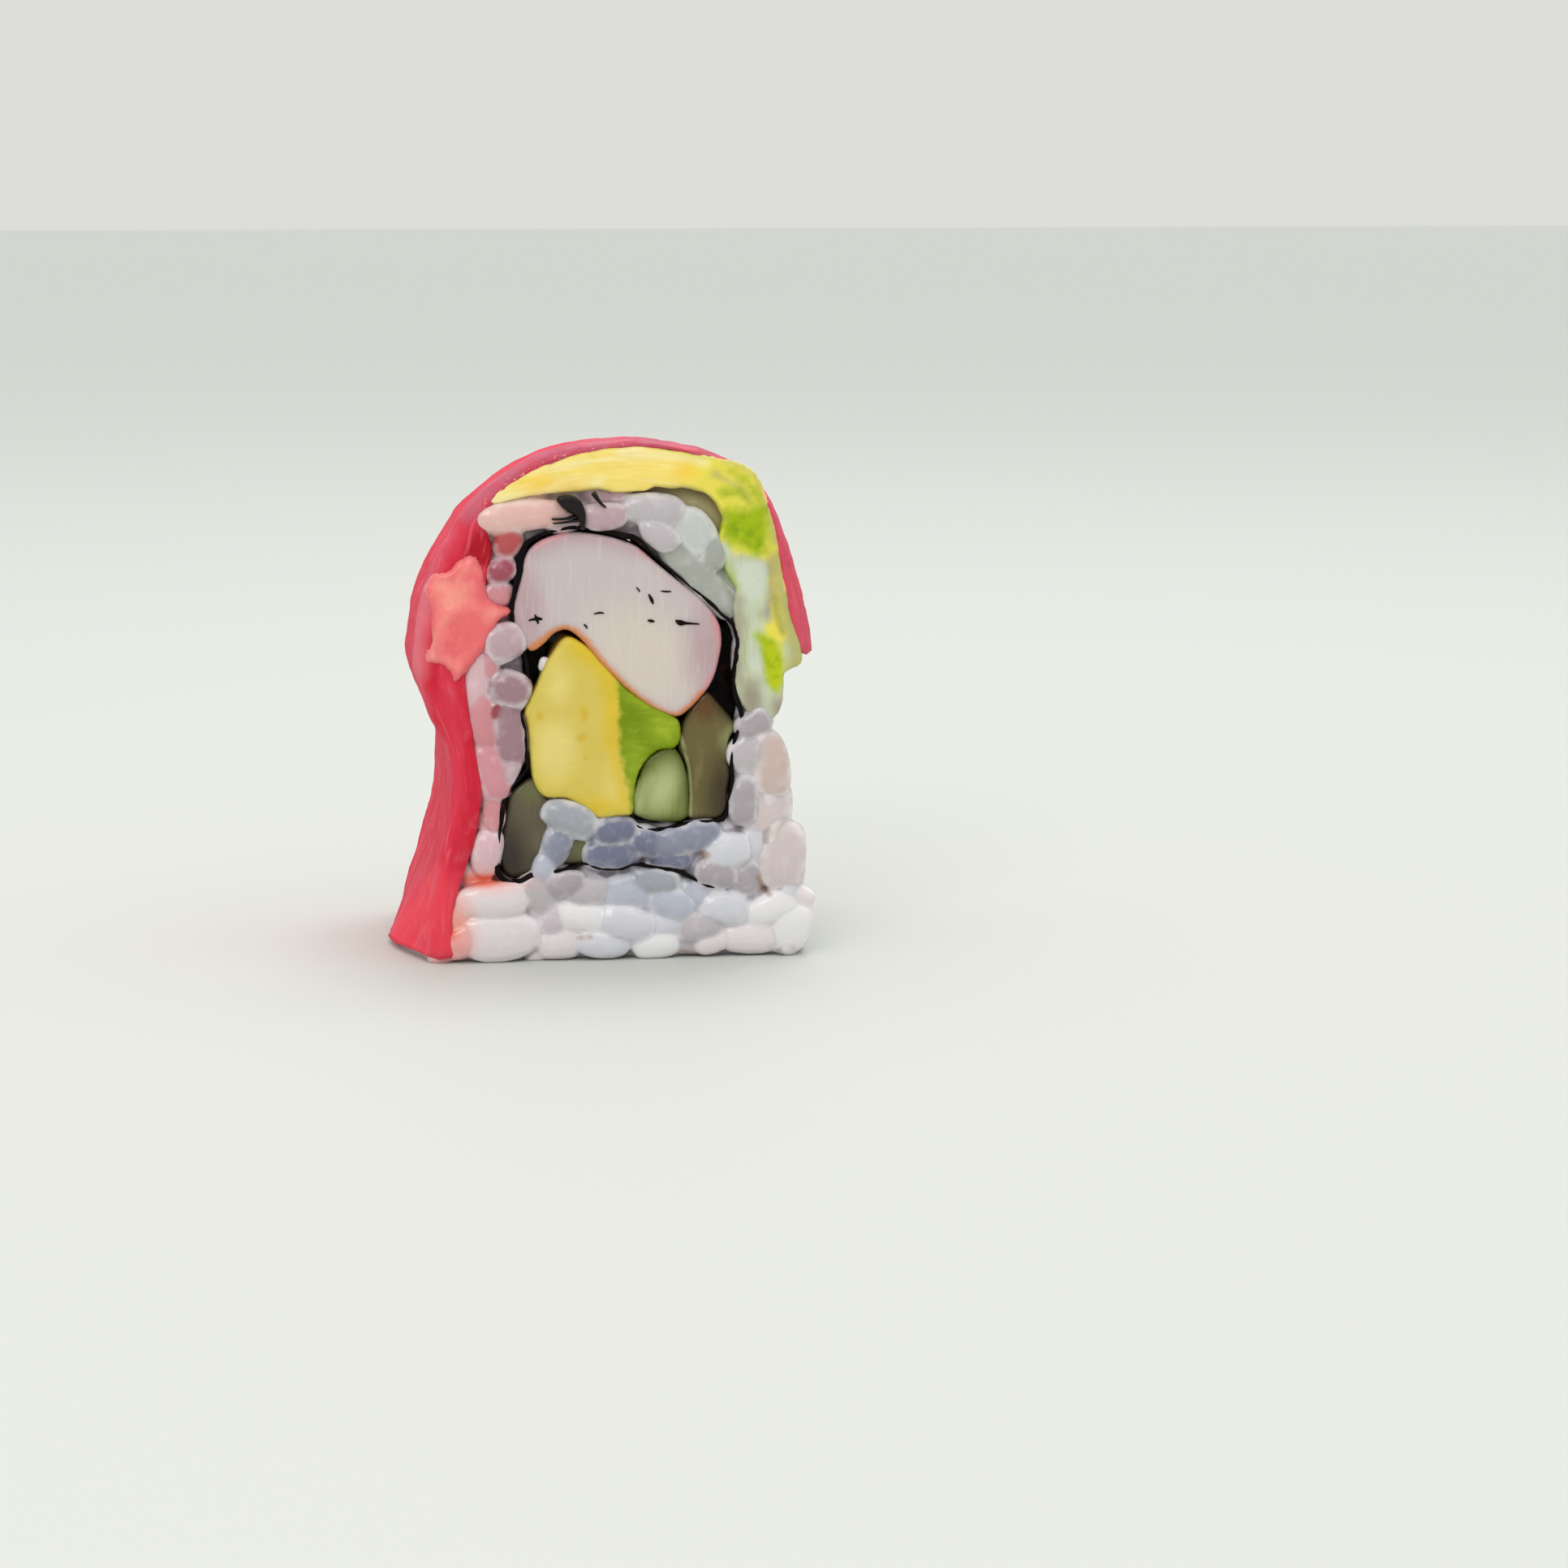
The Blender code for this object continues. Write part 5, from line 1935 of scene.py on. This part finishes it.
FRONT_GRAINS = (
    Grain(-8, 37.7, 2.6, 2.4, 60, Tint.CORAL, -0.1),
    Grain(-8.7, 35.3, 2.8, 2.2, 20, Tint.ROSE, -0.1),
    Grain(-9, 33, 3, 2.2, 10, Tint.PINK, -0.1),
    Grain(-8.4, 28.9, 3.8, 3.4, 20, Tint.LILAC, 0.15),
    Grain(-9.8, 27, 2.8, 1.6, 95, Tint.PINK, -0.2),
    Grain(-10.9, 25.4, 5.6, 2.2, 82, Tint.PETAL, -0.1),
    Grain(-8, 24.7, 3.7, 3.3, -30, Tint.CLEAR, 0.1),
    Grain(-9.2, 22.7, 1.7, 1.3, 70, Tint.WINE, 0.05),
    Grain(-10.5, 21.8, 5, 2.5, 96, Tint.PINK, -0.15),
    Grain(-8, 20.7, 5.8, 2.9, 96, Tint.CLEAR, -0.05),
    Grain(-9.7, 17.3, 5.4, 2.8, 108, Tint.BLOOM, 0.25),
    Grain(-8.1, 17.4, 2.6, 1.8, 60, Tint.LILAC, -0.3),
    Grain(-9.5, 13.2, 3.2, 2, 84, Tint.PINK, -0.1),
    Grain(-10.2, 9.9, 4.2, 2.7, 80, Tint.PETAL, 0.1),
    Grain(-9.8, 5.6, 6.2, 3.2, 3, Tint.WHITE, 0.1),
    Grain(-12.6, 4.2, 3.6, 2.8, 40, Tint.BLUSH, -0.1),
    Grain(-12.2, 1.6, 3.6, 3, 20, Tint.PETAL, -0.1),
    Grain(-9, 2.1, 6.8, 4.2, 2, Tint.WHITE, 0.25),
    Grain(-5.4, 6.1, 4.4, 3.3, -50, Tint.MIST),
    Grain(-3.2, 7, 3.6, 2.3, 10, Tint.SMOKE, -0.15),
    Grain(-1.8, 3.9, 5.4, 2.6, -9, Tint.SNOW, 0.2),
    Grain(-1.2, 6.2, 4, 2.6, 8, Tint.MIST, -0.1),
    Grain(-4.2, 3.7, 3.2, 2.5, 60, Tint.HAZE, -0.2),
    Grain(-3.8, 1.5, 3.8, 3, 5, Tint.WHITE, 0.1),
    Grain(0.2, 1.2, 4.6, 2.4, -4, Tint.PALE),
    Grain(5, 1.1, 4, 2.5, 0, Tint.SNOW, 0.15),
    Grain(5.8, 3, 3.4, 2.2, 15, Tint.PALE, -0.05),
    Grain(2.4, 3.2, 5, 3, -14, Tint.PALE, 0.15),
    Grain(2.2, 6, 5.2, 3.4, 8, Tint.BLUE),
    Grain(4.9, 7, 4.4, 2.6, -12, Tint.STEEL, -0.15),
    Grain(6.4, 5, 4.2, 2.9, -20, Tint.BLUE, 0.05),
    Grain(8.8, 5.6, 4, 2.6, -24, Tint.BLUE, -0.15),
    Grain(9, 2.8, 4.4, 2.9, 10, Tint.MIST, -0.1),
    Grain(8, 1, 3.2, 2, -10, Tint.MIST, -0.35),
    Grain(10.1, 1, 3.4, 2.1, 12, Tint.WHITE),
    Grain(11.2, 4.4, 4.5, 3.1, -5, Tint.PALE, 0.05),
    Grain(13.5, 1.6, 5.6, 2.8, 0, Tint.WHITE, 0.2),
    Grain(17.2, 2.4, 4.6, 3.6, 80, Tint.SNOW, 0.1),
    Grain(15.5, 4.4, 4.8, 2.8, 24, Tint.SNOW, 0.25),
    Grain(18, 5.4, 2.8, 2, -30, Tint.WHITE),
    Grain(16.5, 9, 6, 4, 84, Tint.WARM, 0),
    Grain(13.4, 7, 3.4, 2.8, 40, Tint.SMOKE, -0.1),
    Grain(11.5, 9.7, 4.1, 3.2, 10, Tint.PALE, 0.2),
    Grain(10.4, 7.6, 3.8, 2.5, -14, Tint.SMOKE, 0.1),
    Grain(14.1, 10.4, 3.8, 3, 60, Tint.PALE, -0.15),
    Grain(-2.8, 13, 4.9, 2.9, -24, Tint.STEEL, 0.2),
    Grain(-4, 10.3, 3.8, 2.7, 70, Tint.SLATE, 0.1),
    Grain(-5.1, 8.6, 2.6, 2, 70, Tint.BLUE, 0.1),
    Grain(1.3, 11.7, 3.9, 2.6, 6, Tint.DEEP_BLUE),
    Grain(1, 9.5, 5.1, 2.7, 0, Tint.DEEP_BLUE, 0.2),
    Grain(4.3, 10.6, 3.4, 2.8, -30, Tint.DEEP_BLUE, -0.1),
    Grain(7.6, 10.8, 6.4, 2.8, 12, Tint.SLATE, 0.1),
    Grain(6.2, 9.1, 4, 1.9, -6, Tint.DEEP_BLUE, -0.25),
    Grain(13.8, 21.1, 3.4, 2.6, 30, Tint.SMOKE, -0.1),
    Grain(13.4, 18.6, 4, 3.4, 40, Tint.MIST, 0.15),
    Grain(12.9, 14.2, 4.4, 2.7, 88, Tint.SMOKE, 0.1),
    Grain(15.5, 17.4, 6, 3.2, 96, Tint.SAND, -0.05),
    Grain(15.2, 13.2, 5.4, 4.2, 80, Tint.WARM, -0.05),
    Grain(0.5, 39.9, 4, 2.4, 2, Tint.LILAC, 0.1),
    Grain(4.9, 40.5, 5.4, 2.9, -6, Tint.MIST, 0.15),
    Grain(8.6, 38.6, 4.2, 3.3, -60, Tint.FROST, 0.15),
    Grain(5.4, 38.2, 3.8, 2.4, -34, Tint.MIST, 0.05),
    Grain(8.9, 34.4, 9, 2.7, -46, Tint.GREY, 0),
    Grain(10.4, 36.6, 3, 2.5, 76, Tint.GREY, -0.15),
    Grain(-6.7, 40.1, 8.4, 2.7, 5, Tint.BLUSH, 0.05),
    Grain(-3, 39.6, 3.4, 2.1, 6, Tint.LILAC, -0.1),
    Grain(-4.9, 26.8, 1.3, 1, 75, Tint.WHITE, -1),
)


def pillow(rings: int = 11, sides: int = 14) -> Shape:
    """A soft pillow, the plain form of a grain, 2 long, wide and thick.

    Args:
        rings: Number of rows from end to end, with the two ends.
        sides: Number of points round each row.

    Returns:
        The closed mesh, with its length along x and its width along y.
    """
    points = [(-1.0, 0.0, 0.0)]
    for row in np.linspace(-math.pi / 2, math.pi / 2, rings)[1:-1]:
        reach = math.copysign(abs(math.sin(row)) ** 0.8, math.sin(row))
        radius = math.cos(row) ** 0.7
        for turn in np.linspace(0.0, 2 * math.pi, sides, endpoint=False):
            c, s = math.cos(turn), math.sin(turn)
            squared = (abs(c) ** 2.6 + abs(s) ** 2.6) ** (-1 / 2.6)
            points.append((reach, radius * c * squared, radius * s * squared))
    points.append((1.0, 0.0, 0.0))
    faces, end = [], 1 + (rings - 3) * sides
    for k in range(sides):
        after = (k + 1) % sides
        faces.append((0, 1 + after, 1 + k))
        for a in range(1, end, sides):
            faces.append((a + k, a + after, a + sides + after, a + sides + k))
        faces.append((end + k, end + after, len(points) - 1))
    return Shape(np.array(points), faces)


PILLOW = pillow()


@dataclass(frozen=True)
class Laid:
    """A grain laid in the drawing, with its direction, the direction out of the rice and its size."""

    middle: Points
    along: Points
    out: Points
    size: Triple
    tint: Tint
    taper: float = 0.14
    bend: float = 0.16

    def shape(self, seed: float) -> Shape:
        """The grain, a little bent and uneven.

        Args:
            seed: Makes it differ from the others.

        Returns:
            The closed mesh.
        """
        points = PILLOW.points.copy()
        points[:, 1:] *= 1.0 + self.taper * math.sin(seed * 7.1) * points[:, :1]
        points[:, 1] += self.bend * math.sin(seed * 3.7) * points[:, 0] ** 2
        points *= np.array(self.size) / 2
        axes = np.array([self.along, np.cross(self.out, self.along), self.out])
        return Shape(points @ axes + self.middle, PILLOW.faces)


@dataclass
class RiceHeap(Piece):
    """The rice: a plain core, and the grains that show, fused where they touch.

    The levels say how deep each layer of grains is sunk and how near its grains may lie.
    """

    name: str = "rice"
    node: str = "rice"
    slot: str = "rice"
    finish: Finish = RiceFinish()
    voxel: float = 0.19
    rear_voxel: float = 0.26
    core_sink: float = 2.2
    sheet_sink: float = 1.5
    bare_inset: float = 1.8
    plump: float = 1.1
    flatness: float = 0.86
    thickest: float = 2.6
    step: float = 0.22
    draw: random.Random = field(default_factory=lambda: random.Random(23))
    tries: int = 5000
    longest: float = 5.8
    shortening: float = 2.6
    widths: tuple[float, float] = (2.5, 3.1)
    narrowest: float = 1.9
    overhang: float = 0.9
    levels: tuple = ((0.75, 0.3), (0.0, 0.4))
    fade: float = 0.6
    body: tuple = (
        (-14.2, 0), (-13.9, 4), (-12.8, 9), (-11.8, 14), (-12, 19), (-12.6, 24), (-12.4, 30), (-12, 36),
        (-10.8, 40), (-8, 42.4), (-4, 43), (0, 43.4), (3.6, 43), (4.8, 42), (6.8, 41.4), (8.8, 40.5),
        (10.4, 39.9), (12.2, 38), (13.6, 35), (14.2, 30), (15, 24), (15.4, 20.4), (16.4, 17.4), (17, 12.6),
        (18, 8.4), (18.3, 4), (18.5, 0.3), (17.6, 0), (8, 0), (0, 0), (-8, 0),
    )
    fillings: tuple = (
        (11.3, 13), (11.7, 17), (12.3, 20.5), (12.6, 22.4), (12.2, 25.4), (12.1, 29.2), (10.3, 31.9),
        (6, 35.4), (3.4, 37.8), (-1.5, 39), (-5.5, 38.3), (-7.3, 35.6), (-7.9, 31.5), (-6.8, 27.3),
        (-7, 22.5), (-6.8, 18.2), (-8.6, 15), (-9.2, 10.5), (-8.6, 7.8), (-6.6, 7.6), (-5.2, 8.6),
        (-4.9, 12.2), (-3.6, 13.8), (-0.8, 12.7), (2.4, 12.4), (7, 12.2),
    )
    side: tuple = (
        (18.3, 0.8), (18.1, 4), (17.8, 8.4), (16.8, 12.6), (16.2, 17.4), (15.3, 20.2), (15.1, 22),
    )
    marks: Marks = marked(
        juice=[Spot(-10.7, 7.5, 1.9, 0.5), Spot(-13.8, 2.8, 0.7, 0.45)],
        blush=[Spot(-13.4, 3, 1.6, 3.6), Spot(-10.6, 7.4, 1.6, 0.4)],
        brown=[
            Streak(((14.2, 7.2), (14.7, 6.3), (15.2, 5.7)), 0.4),
            Streak(((-2, 2.1), (-1, 2.2)), 0.3),
            Streak(((7.2, 0.6), (8.6, 0.3)), 0.3),
            Spot(9.3, 9.4, 0.5, 0.4),
        ],
    )

    def rims(self, spacing: float) -> list[Points]:
        """The closed outlines of the rice and of what the nori holds."""
        return [anticlockwise(smooth_line(path, spacing, True)) for path in (self.body, self.fillings)]

    def side_line(self) -> Points:
        """The bare right side, from the base upwards."""
        return smooth_line(self.side, 0.4)

    def core(self) -> None:
        """Builds the plain rice inside, which shows only under the piece."""
        end = HALF_LENGTH - self.core_sink
        body, fillings = self.rims(1.2)
        bare = smoothstep(body[:, 0], 6.0, 14.0) * smoothstep(-body[:, 1], -23.0, -19.0)
        body[:, 0] -= self.bare_inset * bare
        shape = Slab([body, fillings], -end, end, 0.3, 1.6, 2.0).shape().above(0.0)
        self.dress(shape, self.fields(shape.points, []), "_core")

    def sheet(self, front: float, back: float) -> Shape:
        """A thin sheet of rice behind the grains of a cut face."""
        return Slab(self.rims(0.5), front, back, 0.1, 0.6, 0.6).shape()

    def front_grains(self) -> list[Laid]:
        """Lays the grains of the front cut, each as the photo shows it.

        Returns:
            The grains.
        """
        found = []
        for index, grain in enumerate(FRONT_GRAINS):
            turned = math.radians(grain.turn)
            along = np.array([math.cos(turned), 0.0, math.sin(turned)])
            width = grain.width * self.plump
            thick = min(self.thickest, width * self.flatness)
            proud = grain.proud + self.step * math.sin(index * 2.4)
            low = abs(along[2]) * grain.length / 2 + abs(along[0]) * grain.width / 2
            middle = np.array([grain.x, -HALF_LENGTH - 0.25 - proud + thick / 2, max(grain.z, low)])
            found.append(Laid(middle, along, FORWARD, (grain.length * self.plump, width, thick), grain.tint))
        return found

    def under_grains(self) -> list[Laid]:
        """Lays grains just behind the front ones, which take the tint of the nearest of them.

        Returns:
            The grains.
        """
        spots = np.array([(grain.x, grain.z) for grain in FRONT_GRAINS])
        found = []
        for middle, along, size in self.cut_places(self.levels[0][1]):
            y = size[2] / 2 - HALF_LENGTH + self.draw.uniform(0.5, 0.9)
            tint = FRONT_GRAINS[int(((spots - middle) ** 2).sum(1).argmin())].tint
            found.append(Laid(at_depth(middle, y), at_depth(along, 0.0), FORWARD, size, tint))
        return found

    def scattered(self, box: tuple, room: Callable, crowding: float) -> list[tuple]:
        """Places for grains spread over a flat field, the longest first, without crowding.

        Args:
            box: Lowest and highest corner of the field.
            room: Tells how far some points are from what the grains keep off.
            crowding: Least distance of two grains, as a share of their widths.

        Returns:
            Middle, direction and size of each grain.
        """
        (left, low), (right, high) = box
        found, spines, widths = [], np.zeros((0, 4, 2)), np.zeros(0)
        for count in range(self.tries):
            length = self.longest - self.shortening * count / self.tries
            angle = self.draw.uniform(0.0, math.pi)
            middle = np.array([self.draw.uniform(left, right), self.draw.uniform(low, high)])
            width = self.draw.uniform(*self.widths)
            along = np.array([math.cos(angle), math.sin(angle)])
            spine = middle + along * np.linspace(-0.5, 0.5, 4)[:, None] * (length - width * 0.8)
            width = min(width, 2.0 * room(spine).min() + self.overhang)
            if width < self.narrowest:
                continue
            if len(spines):
                gaps = np.sqrt(((spines[:, :, None] - spine) ** 2).sum(3)).min((1, 2))
                if (gaps / (widths + width)).min() < crowding:
                    continue
            spines = np.concatenate([spines, spine[None]])
            widths = np.append(widths, width)
            found.append((middle, along, (length, width, width * self.flatness)))
        return found

    def cut_places(self, crowding: float) -> list[tuple]:
        """Places for grains spread over the section, off its rims.

        Args:
            crowding: Least distance of two grains, as a share of their widths.

        Returns:
            Middle, direction and size of each grain.
        """
        body, hole = self.rims(0.8)

        def room(places: Points) -> Points:
            """Distance from the rims of the rice."""
            return np.minimum(depth_inside(places, body), -depth_inside(places, hole))

        return self.scattered((body.min(0), body.max(0)), room, crowding)

    def back_grains(self) -> list[Laid]:
        """Lays the grains of the back cut, on two levels.

        Returns:
            The grains.
        """
        found = []
        for sunk, crowding in self.levels:
            for middle, along, size in self.cut_places(crowding):
                y = HALF_LENGTH + self.draw.uniform(-0.2, 0.3) - sunk - size[2] / 2
                tint = self.tint_at(*middle)
                found.append(Laid(at_depth(middle, y), at_depth(along, 0.0), BACKWARD, size, tint))
        return found

    def side_grains(self) -> list[Laid]:
        """Lays the grains of the bare right side, on two levels.

        Returns:
            The grains.
        """
        line = self.side_line()
        low = np.array([2.2 - HALF_LENGTH, line[0, 1] + 0.4])
        high = np.array([HALF_LENGTH - 1.6, line[-1, 1] + 0.4])
        slopes = np.gradient(line[:, 0], line[:, 1])

        def room(places: Points) -> Points:
            """Distance from the edges of the side."""
            return np.minimum(places - low + 0.6, high - places + 0.6).min(axis=1)

        found = []
        for sunk, crowding in self.levels:
            for (y, z), along, size in self.scattered((low, high), room, crowding):
                x = float(np.interp(z, line[:, 1], line[:, 0]))
                slope = float(np.interp(z, line[:, 1], slopes))
                out = unit(np.array([1.0, 0.0, -slope]))
                direction = unit(np.array([slope * along[1], along[0], along[1]]))
                place = np.array([x, y, z]) + out * (self.draw.uniform(0.5, 1.0) - sunk - size[2] / 2)
                found.append(Laid(place, direction, out, size, self.tint_at(x, z)))
        return found

    def corner_grains(self, end: float) -> list[Laid]:
        """Lays grains that round the upright edge between the bare side and a cut.

        Args:
            end: -1 for the front cut and 1 for the back cut.

        Returns:
            The grains.
        """
        line = self.side_line()
        found = []
        for z in np.arange(1.8, 20.0, 3.4):
            length, width = self.draw.uniform(4.2, 5.2), self.draw.uniform(2.4, 2.9)
            lean = self.draw.uniform(-0.6, 0.6)
            out = unit(np.array([1.0, end * self.draw.uniform(0.7, 1.2), 0.0]))
            along = math.cos(lean) * UPWARD + math.sin(lean) * np.cross(out, UPWARD)
            x = float(np.interp(z, line[:, 1], line[:, 0]))
            place = np.array([x - 1.05, end * (HALF_LENGTH - 1.3), z])
            found.append(Laid(place, along, out, (length, width, width), self.tint_at(x, z)))
        return found

    def tint_at(self, x: float, z: float) -> Tint:
        """A likely tint for a grain.

        Args:
            x: Where the grain lies across the section.
            z: Its height.

        Returns:
            The tint, pinker beside the tuna, and bluer under the fillings as painted shade.
        """
        if x < -7.5 and z > 7.0:
            return self.draw.choice((Tint.BLUSH, Tint.BLUSH, Tint.CREAM, Tint.PALE))
        if abs(x) < 8.0 and 4.0 < z < 13.0:
            return self.draw.choice((Tint.BLUE, Tint.PALE, Tint.PALE, Tint.WHITE))
        return self.draw.choice((Tint.WHITE, Tint.WHITE, Tint.WHITE, Tint.PALE, Tint.PALE, Tint.CREAM))

    def fields(self, drawn: Points, grains: list[Laid]) -> dict:
        """What the finish reads at each point.

        Args:
            drawn: The points.
            grains: The grains, which may be none.

        Returns:
            The marks, the tint of the nearest grain, how near its heart a point is, and the gaps, which the
            finish paints as shade.
        """
        found = mark_fields(self.marks, drawn, self.fade)
        found["tint"] = np.tile(np.array(Tint.WHITE.value[:3]), (len(drawn), 1))
        found["heart"] = np.zeros(len(drawn))
        found["gap"] = np.zeros(len(drawn))
        if not grains:
            return found
        middles, alongs = np.array([[grain.middle, grain.along] for grain in grains]).swapaxes(0, 1)
        outs, sizes = np.array([[grain.out, grain.size] for grain in grains]).swapaxes(0, 1)
        tints = np.array([grain.tint.value[:3] for grain in grains])
        spans = np.maximum(sizes[:, 0] - sizes[:, 1], 0.1) / 2
        for part in batches(np.arange(len(drawn))):
            away = drawn[part][:, None] - middles
            away = away - alongs * np.clip((away * alongs).sum(2), -spans, spans)[..., None]
            rise = (away * outs).sum(2)
            lift = rise / (sizes[:, 2] / 2)
            across = np.sqrt(np.maximum((away**2).sum(2) - rise**2, 0.0)) / (sizes[:, 1] / 2)
            gaps = np.hypot(across, lift)
            rows, nearest, order = np.arange(len(part)), gaps.argmin(1), np.sort(gaps, axis=1)
            weight = np.exp(-(gaps - order[:, :1]) / 0.06)
            found["tint"][part] = weight @ tints / weight.sum(1, keepdims=True)
            found["heart"][part] = across[rows, nearest]
            # gap: painted shade where a point lies below its grain, and along the creases where grains meet
            shared = smoothstep(order[:, 0] - order[:, 1], -0.14, 0.0) * smoothstep(order[:, 0], 0.75, 1.0)
            found["gap"][part] = np.maximum(smoothstep(lift[rows, nearest], 0.6, -0.1), shared * 0.4)
        return found

    def layer(self, suffix: str, grains: list[Laid], backing: list[Shape], voxel: float) -> None:
        """Builds grains that show, fused with the sheets of rice behind them.

        Args:
            suffix: What the name of the piece ends with.
            grains: The grains.
            backing: The closed shapes behind the grains.
            voxel: Size of the grid on which they are fused.
        """
        shapes = [grain.shape(index + 0.37) for index, grain in enumerate(grains)]
        fused = joined(shapes + backing).fused(voxel).above(CLEAR_OF_FLOOR)
        log.info("%s%s: %d grains", self.name, suffix, len(grains))
        self.dress(fused, self.fields(fused.points, grains), suffix)

    def build(self) -> None:
        """Builds the core, the grains of the front cut, and those of the back cut and the side."""
        self.core()
        end, inner = HALF_LENGTH - self.sheet_sink, HALF_LENGTH - self.core_sink - 0.4
        line = smooth_line([(x - 1.7, z, 2.4) for x, z in self.side], 0.6)
        side = Slab([strip_outline(line)], -inner, inner, 0.1, 0.8, 1.5).shape()
        rear = self.back_grains() + self.side_grains() + self.corner_grains(1.0)
        front = self.front_grains() + self.under_grains() + self.corner_grains(-1.0)
        self.layer("_front", front, [self.sheet(-end, -inner)], self.voxel)
        self.layer("_rear", rear, [self.sheet(inner, end), side], self.rear_voxel)


@dataclass(frozen=True)
class Lamp:
    """A soft square light that faces the piece."""

    name: str
    place: Triple
    size: float = 0.3
    power: float = 1.2
    colour: Triple = (1.0, 1.0, 1.0)
    aim: Triple = (0.0, 0.0, 0.02)

    def build(self) -> None:
        """Hangs the light."""
        light = bpy.data.lights.new(self.name, "AREA")
        light.size = self.size
        light.energy = self.power
        light.color = self.colour
        holder = linked(self.name, light)
        holder.location = self.place
        holder.rotation_euler = (Vector(self.aim) - Vector(self.place)).to_track_quat("-Z", "Y").to_euler()


@dataclass(frozen=True)
class Studio:
    """A pale floor, soft light and the camera."""

    azimuth: float = -8.0
    elevation: float = 8.5
    eye: Triple = (-37.3, -397.1, 73.5)
    lens: float = 100.0
    sensor: float = 36.0
    floor_half: float = 3.0
    sky: Colour = tone(229, 230, 227)
    horizon: float = 0.92
    zenith: float = 1.6
    lamps: tuple = (
        Lamp("front_light", (-0.3, -0.6, 0.4), colour=(1.0, 0.99, 0.97)),
        Lamp("top_light", (0.1, 0.2, 0.6)),
    )

    def floor(self) -> None:
        """Lays the plain pale floor."""
        corners = np.array([(-1.0, -1.0, 0.0), (1.0, -1.0, 0.0), (1.0, 1.0, 0.0), (-1.0, 1.0, 0.0)])
        mesh = Shape(corners * self.floor_half, [(0, 1, 2, 3)]).mesh("floor")
        mesh.materials.append(FloorFinish().material())
        floor = linked("floor", mesh)

    def camera(self) -> None:
        """Sets the camera at the photo's viewing angle."""
        data = bpy.data.cameras.new("camera")
        data.lens = self.lens
        data.sensor_width = self.sensor
        data.clip_start = 0.01
        holder = linked("camera", data)
        holder.location = (np.array(self.eye) + DRAPE.shift()) * MM
        a, e = math.radians(self.azimuth), math.radians(self.elevation)
        back = Vector((math.sin(a) * math.cos(e), -math.cos(a) * math.cos(e), math.sin(e)))
        holder.rotation_euler = (-back).to_track_quat("-Z", "Y").to_euler()
        bpy.context.scene.camera = holder

    def world(self) -> None:
        """Sets a soft sky that is brighter overhead."""
        sheet = Sheet(bpy.data.worlds.new("sky"))
        _, _, height = sheet.axes(sheet.add("ShaderNodeTexCoord", {}, {}))
        strength = self.horizon + height.soft(0.1, 1.0) * (self.zenith - self.horizon)
        glow = sheet.add("ShaderNodeBackground", {}, {"Color": self.sky, "Strength": strength})
        sheet.add("ShaderNodeOutputWorld", {}, {"Surface": glow}, None)
        bpy.context.scene.world = sheet.holder

    def build(self) -> None:
        """Builds the whole studio."""
        self.floor()
        for lamp in self.lamps:
            lamp.build()
        self.world()
        bpy.context.scene.view_settings.view_transform = "Standard"
        self.camera()


PIECES = (
    TunaSlice, TunaFlake, AvocadoTopping, NoriSheet, CrabStick, AvocadoFilling, PaleCucumber, DarkCucumber,
    CornerCucumber, AvocadoUnderside, NoriFolds, NoriLeaf, CrabSpecks, RiceHeap,
)


def main() -> None:
    """Builds the studio and every piece."""
    logging.basicConfig(level=logging.INFO, format="%(message)s")
    Studio().build()
    for kind in PIECES:
        kind().build()


if __name__ == "__main__":
    main()
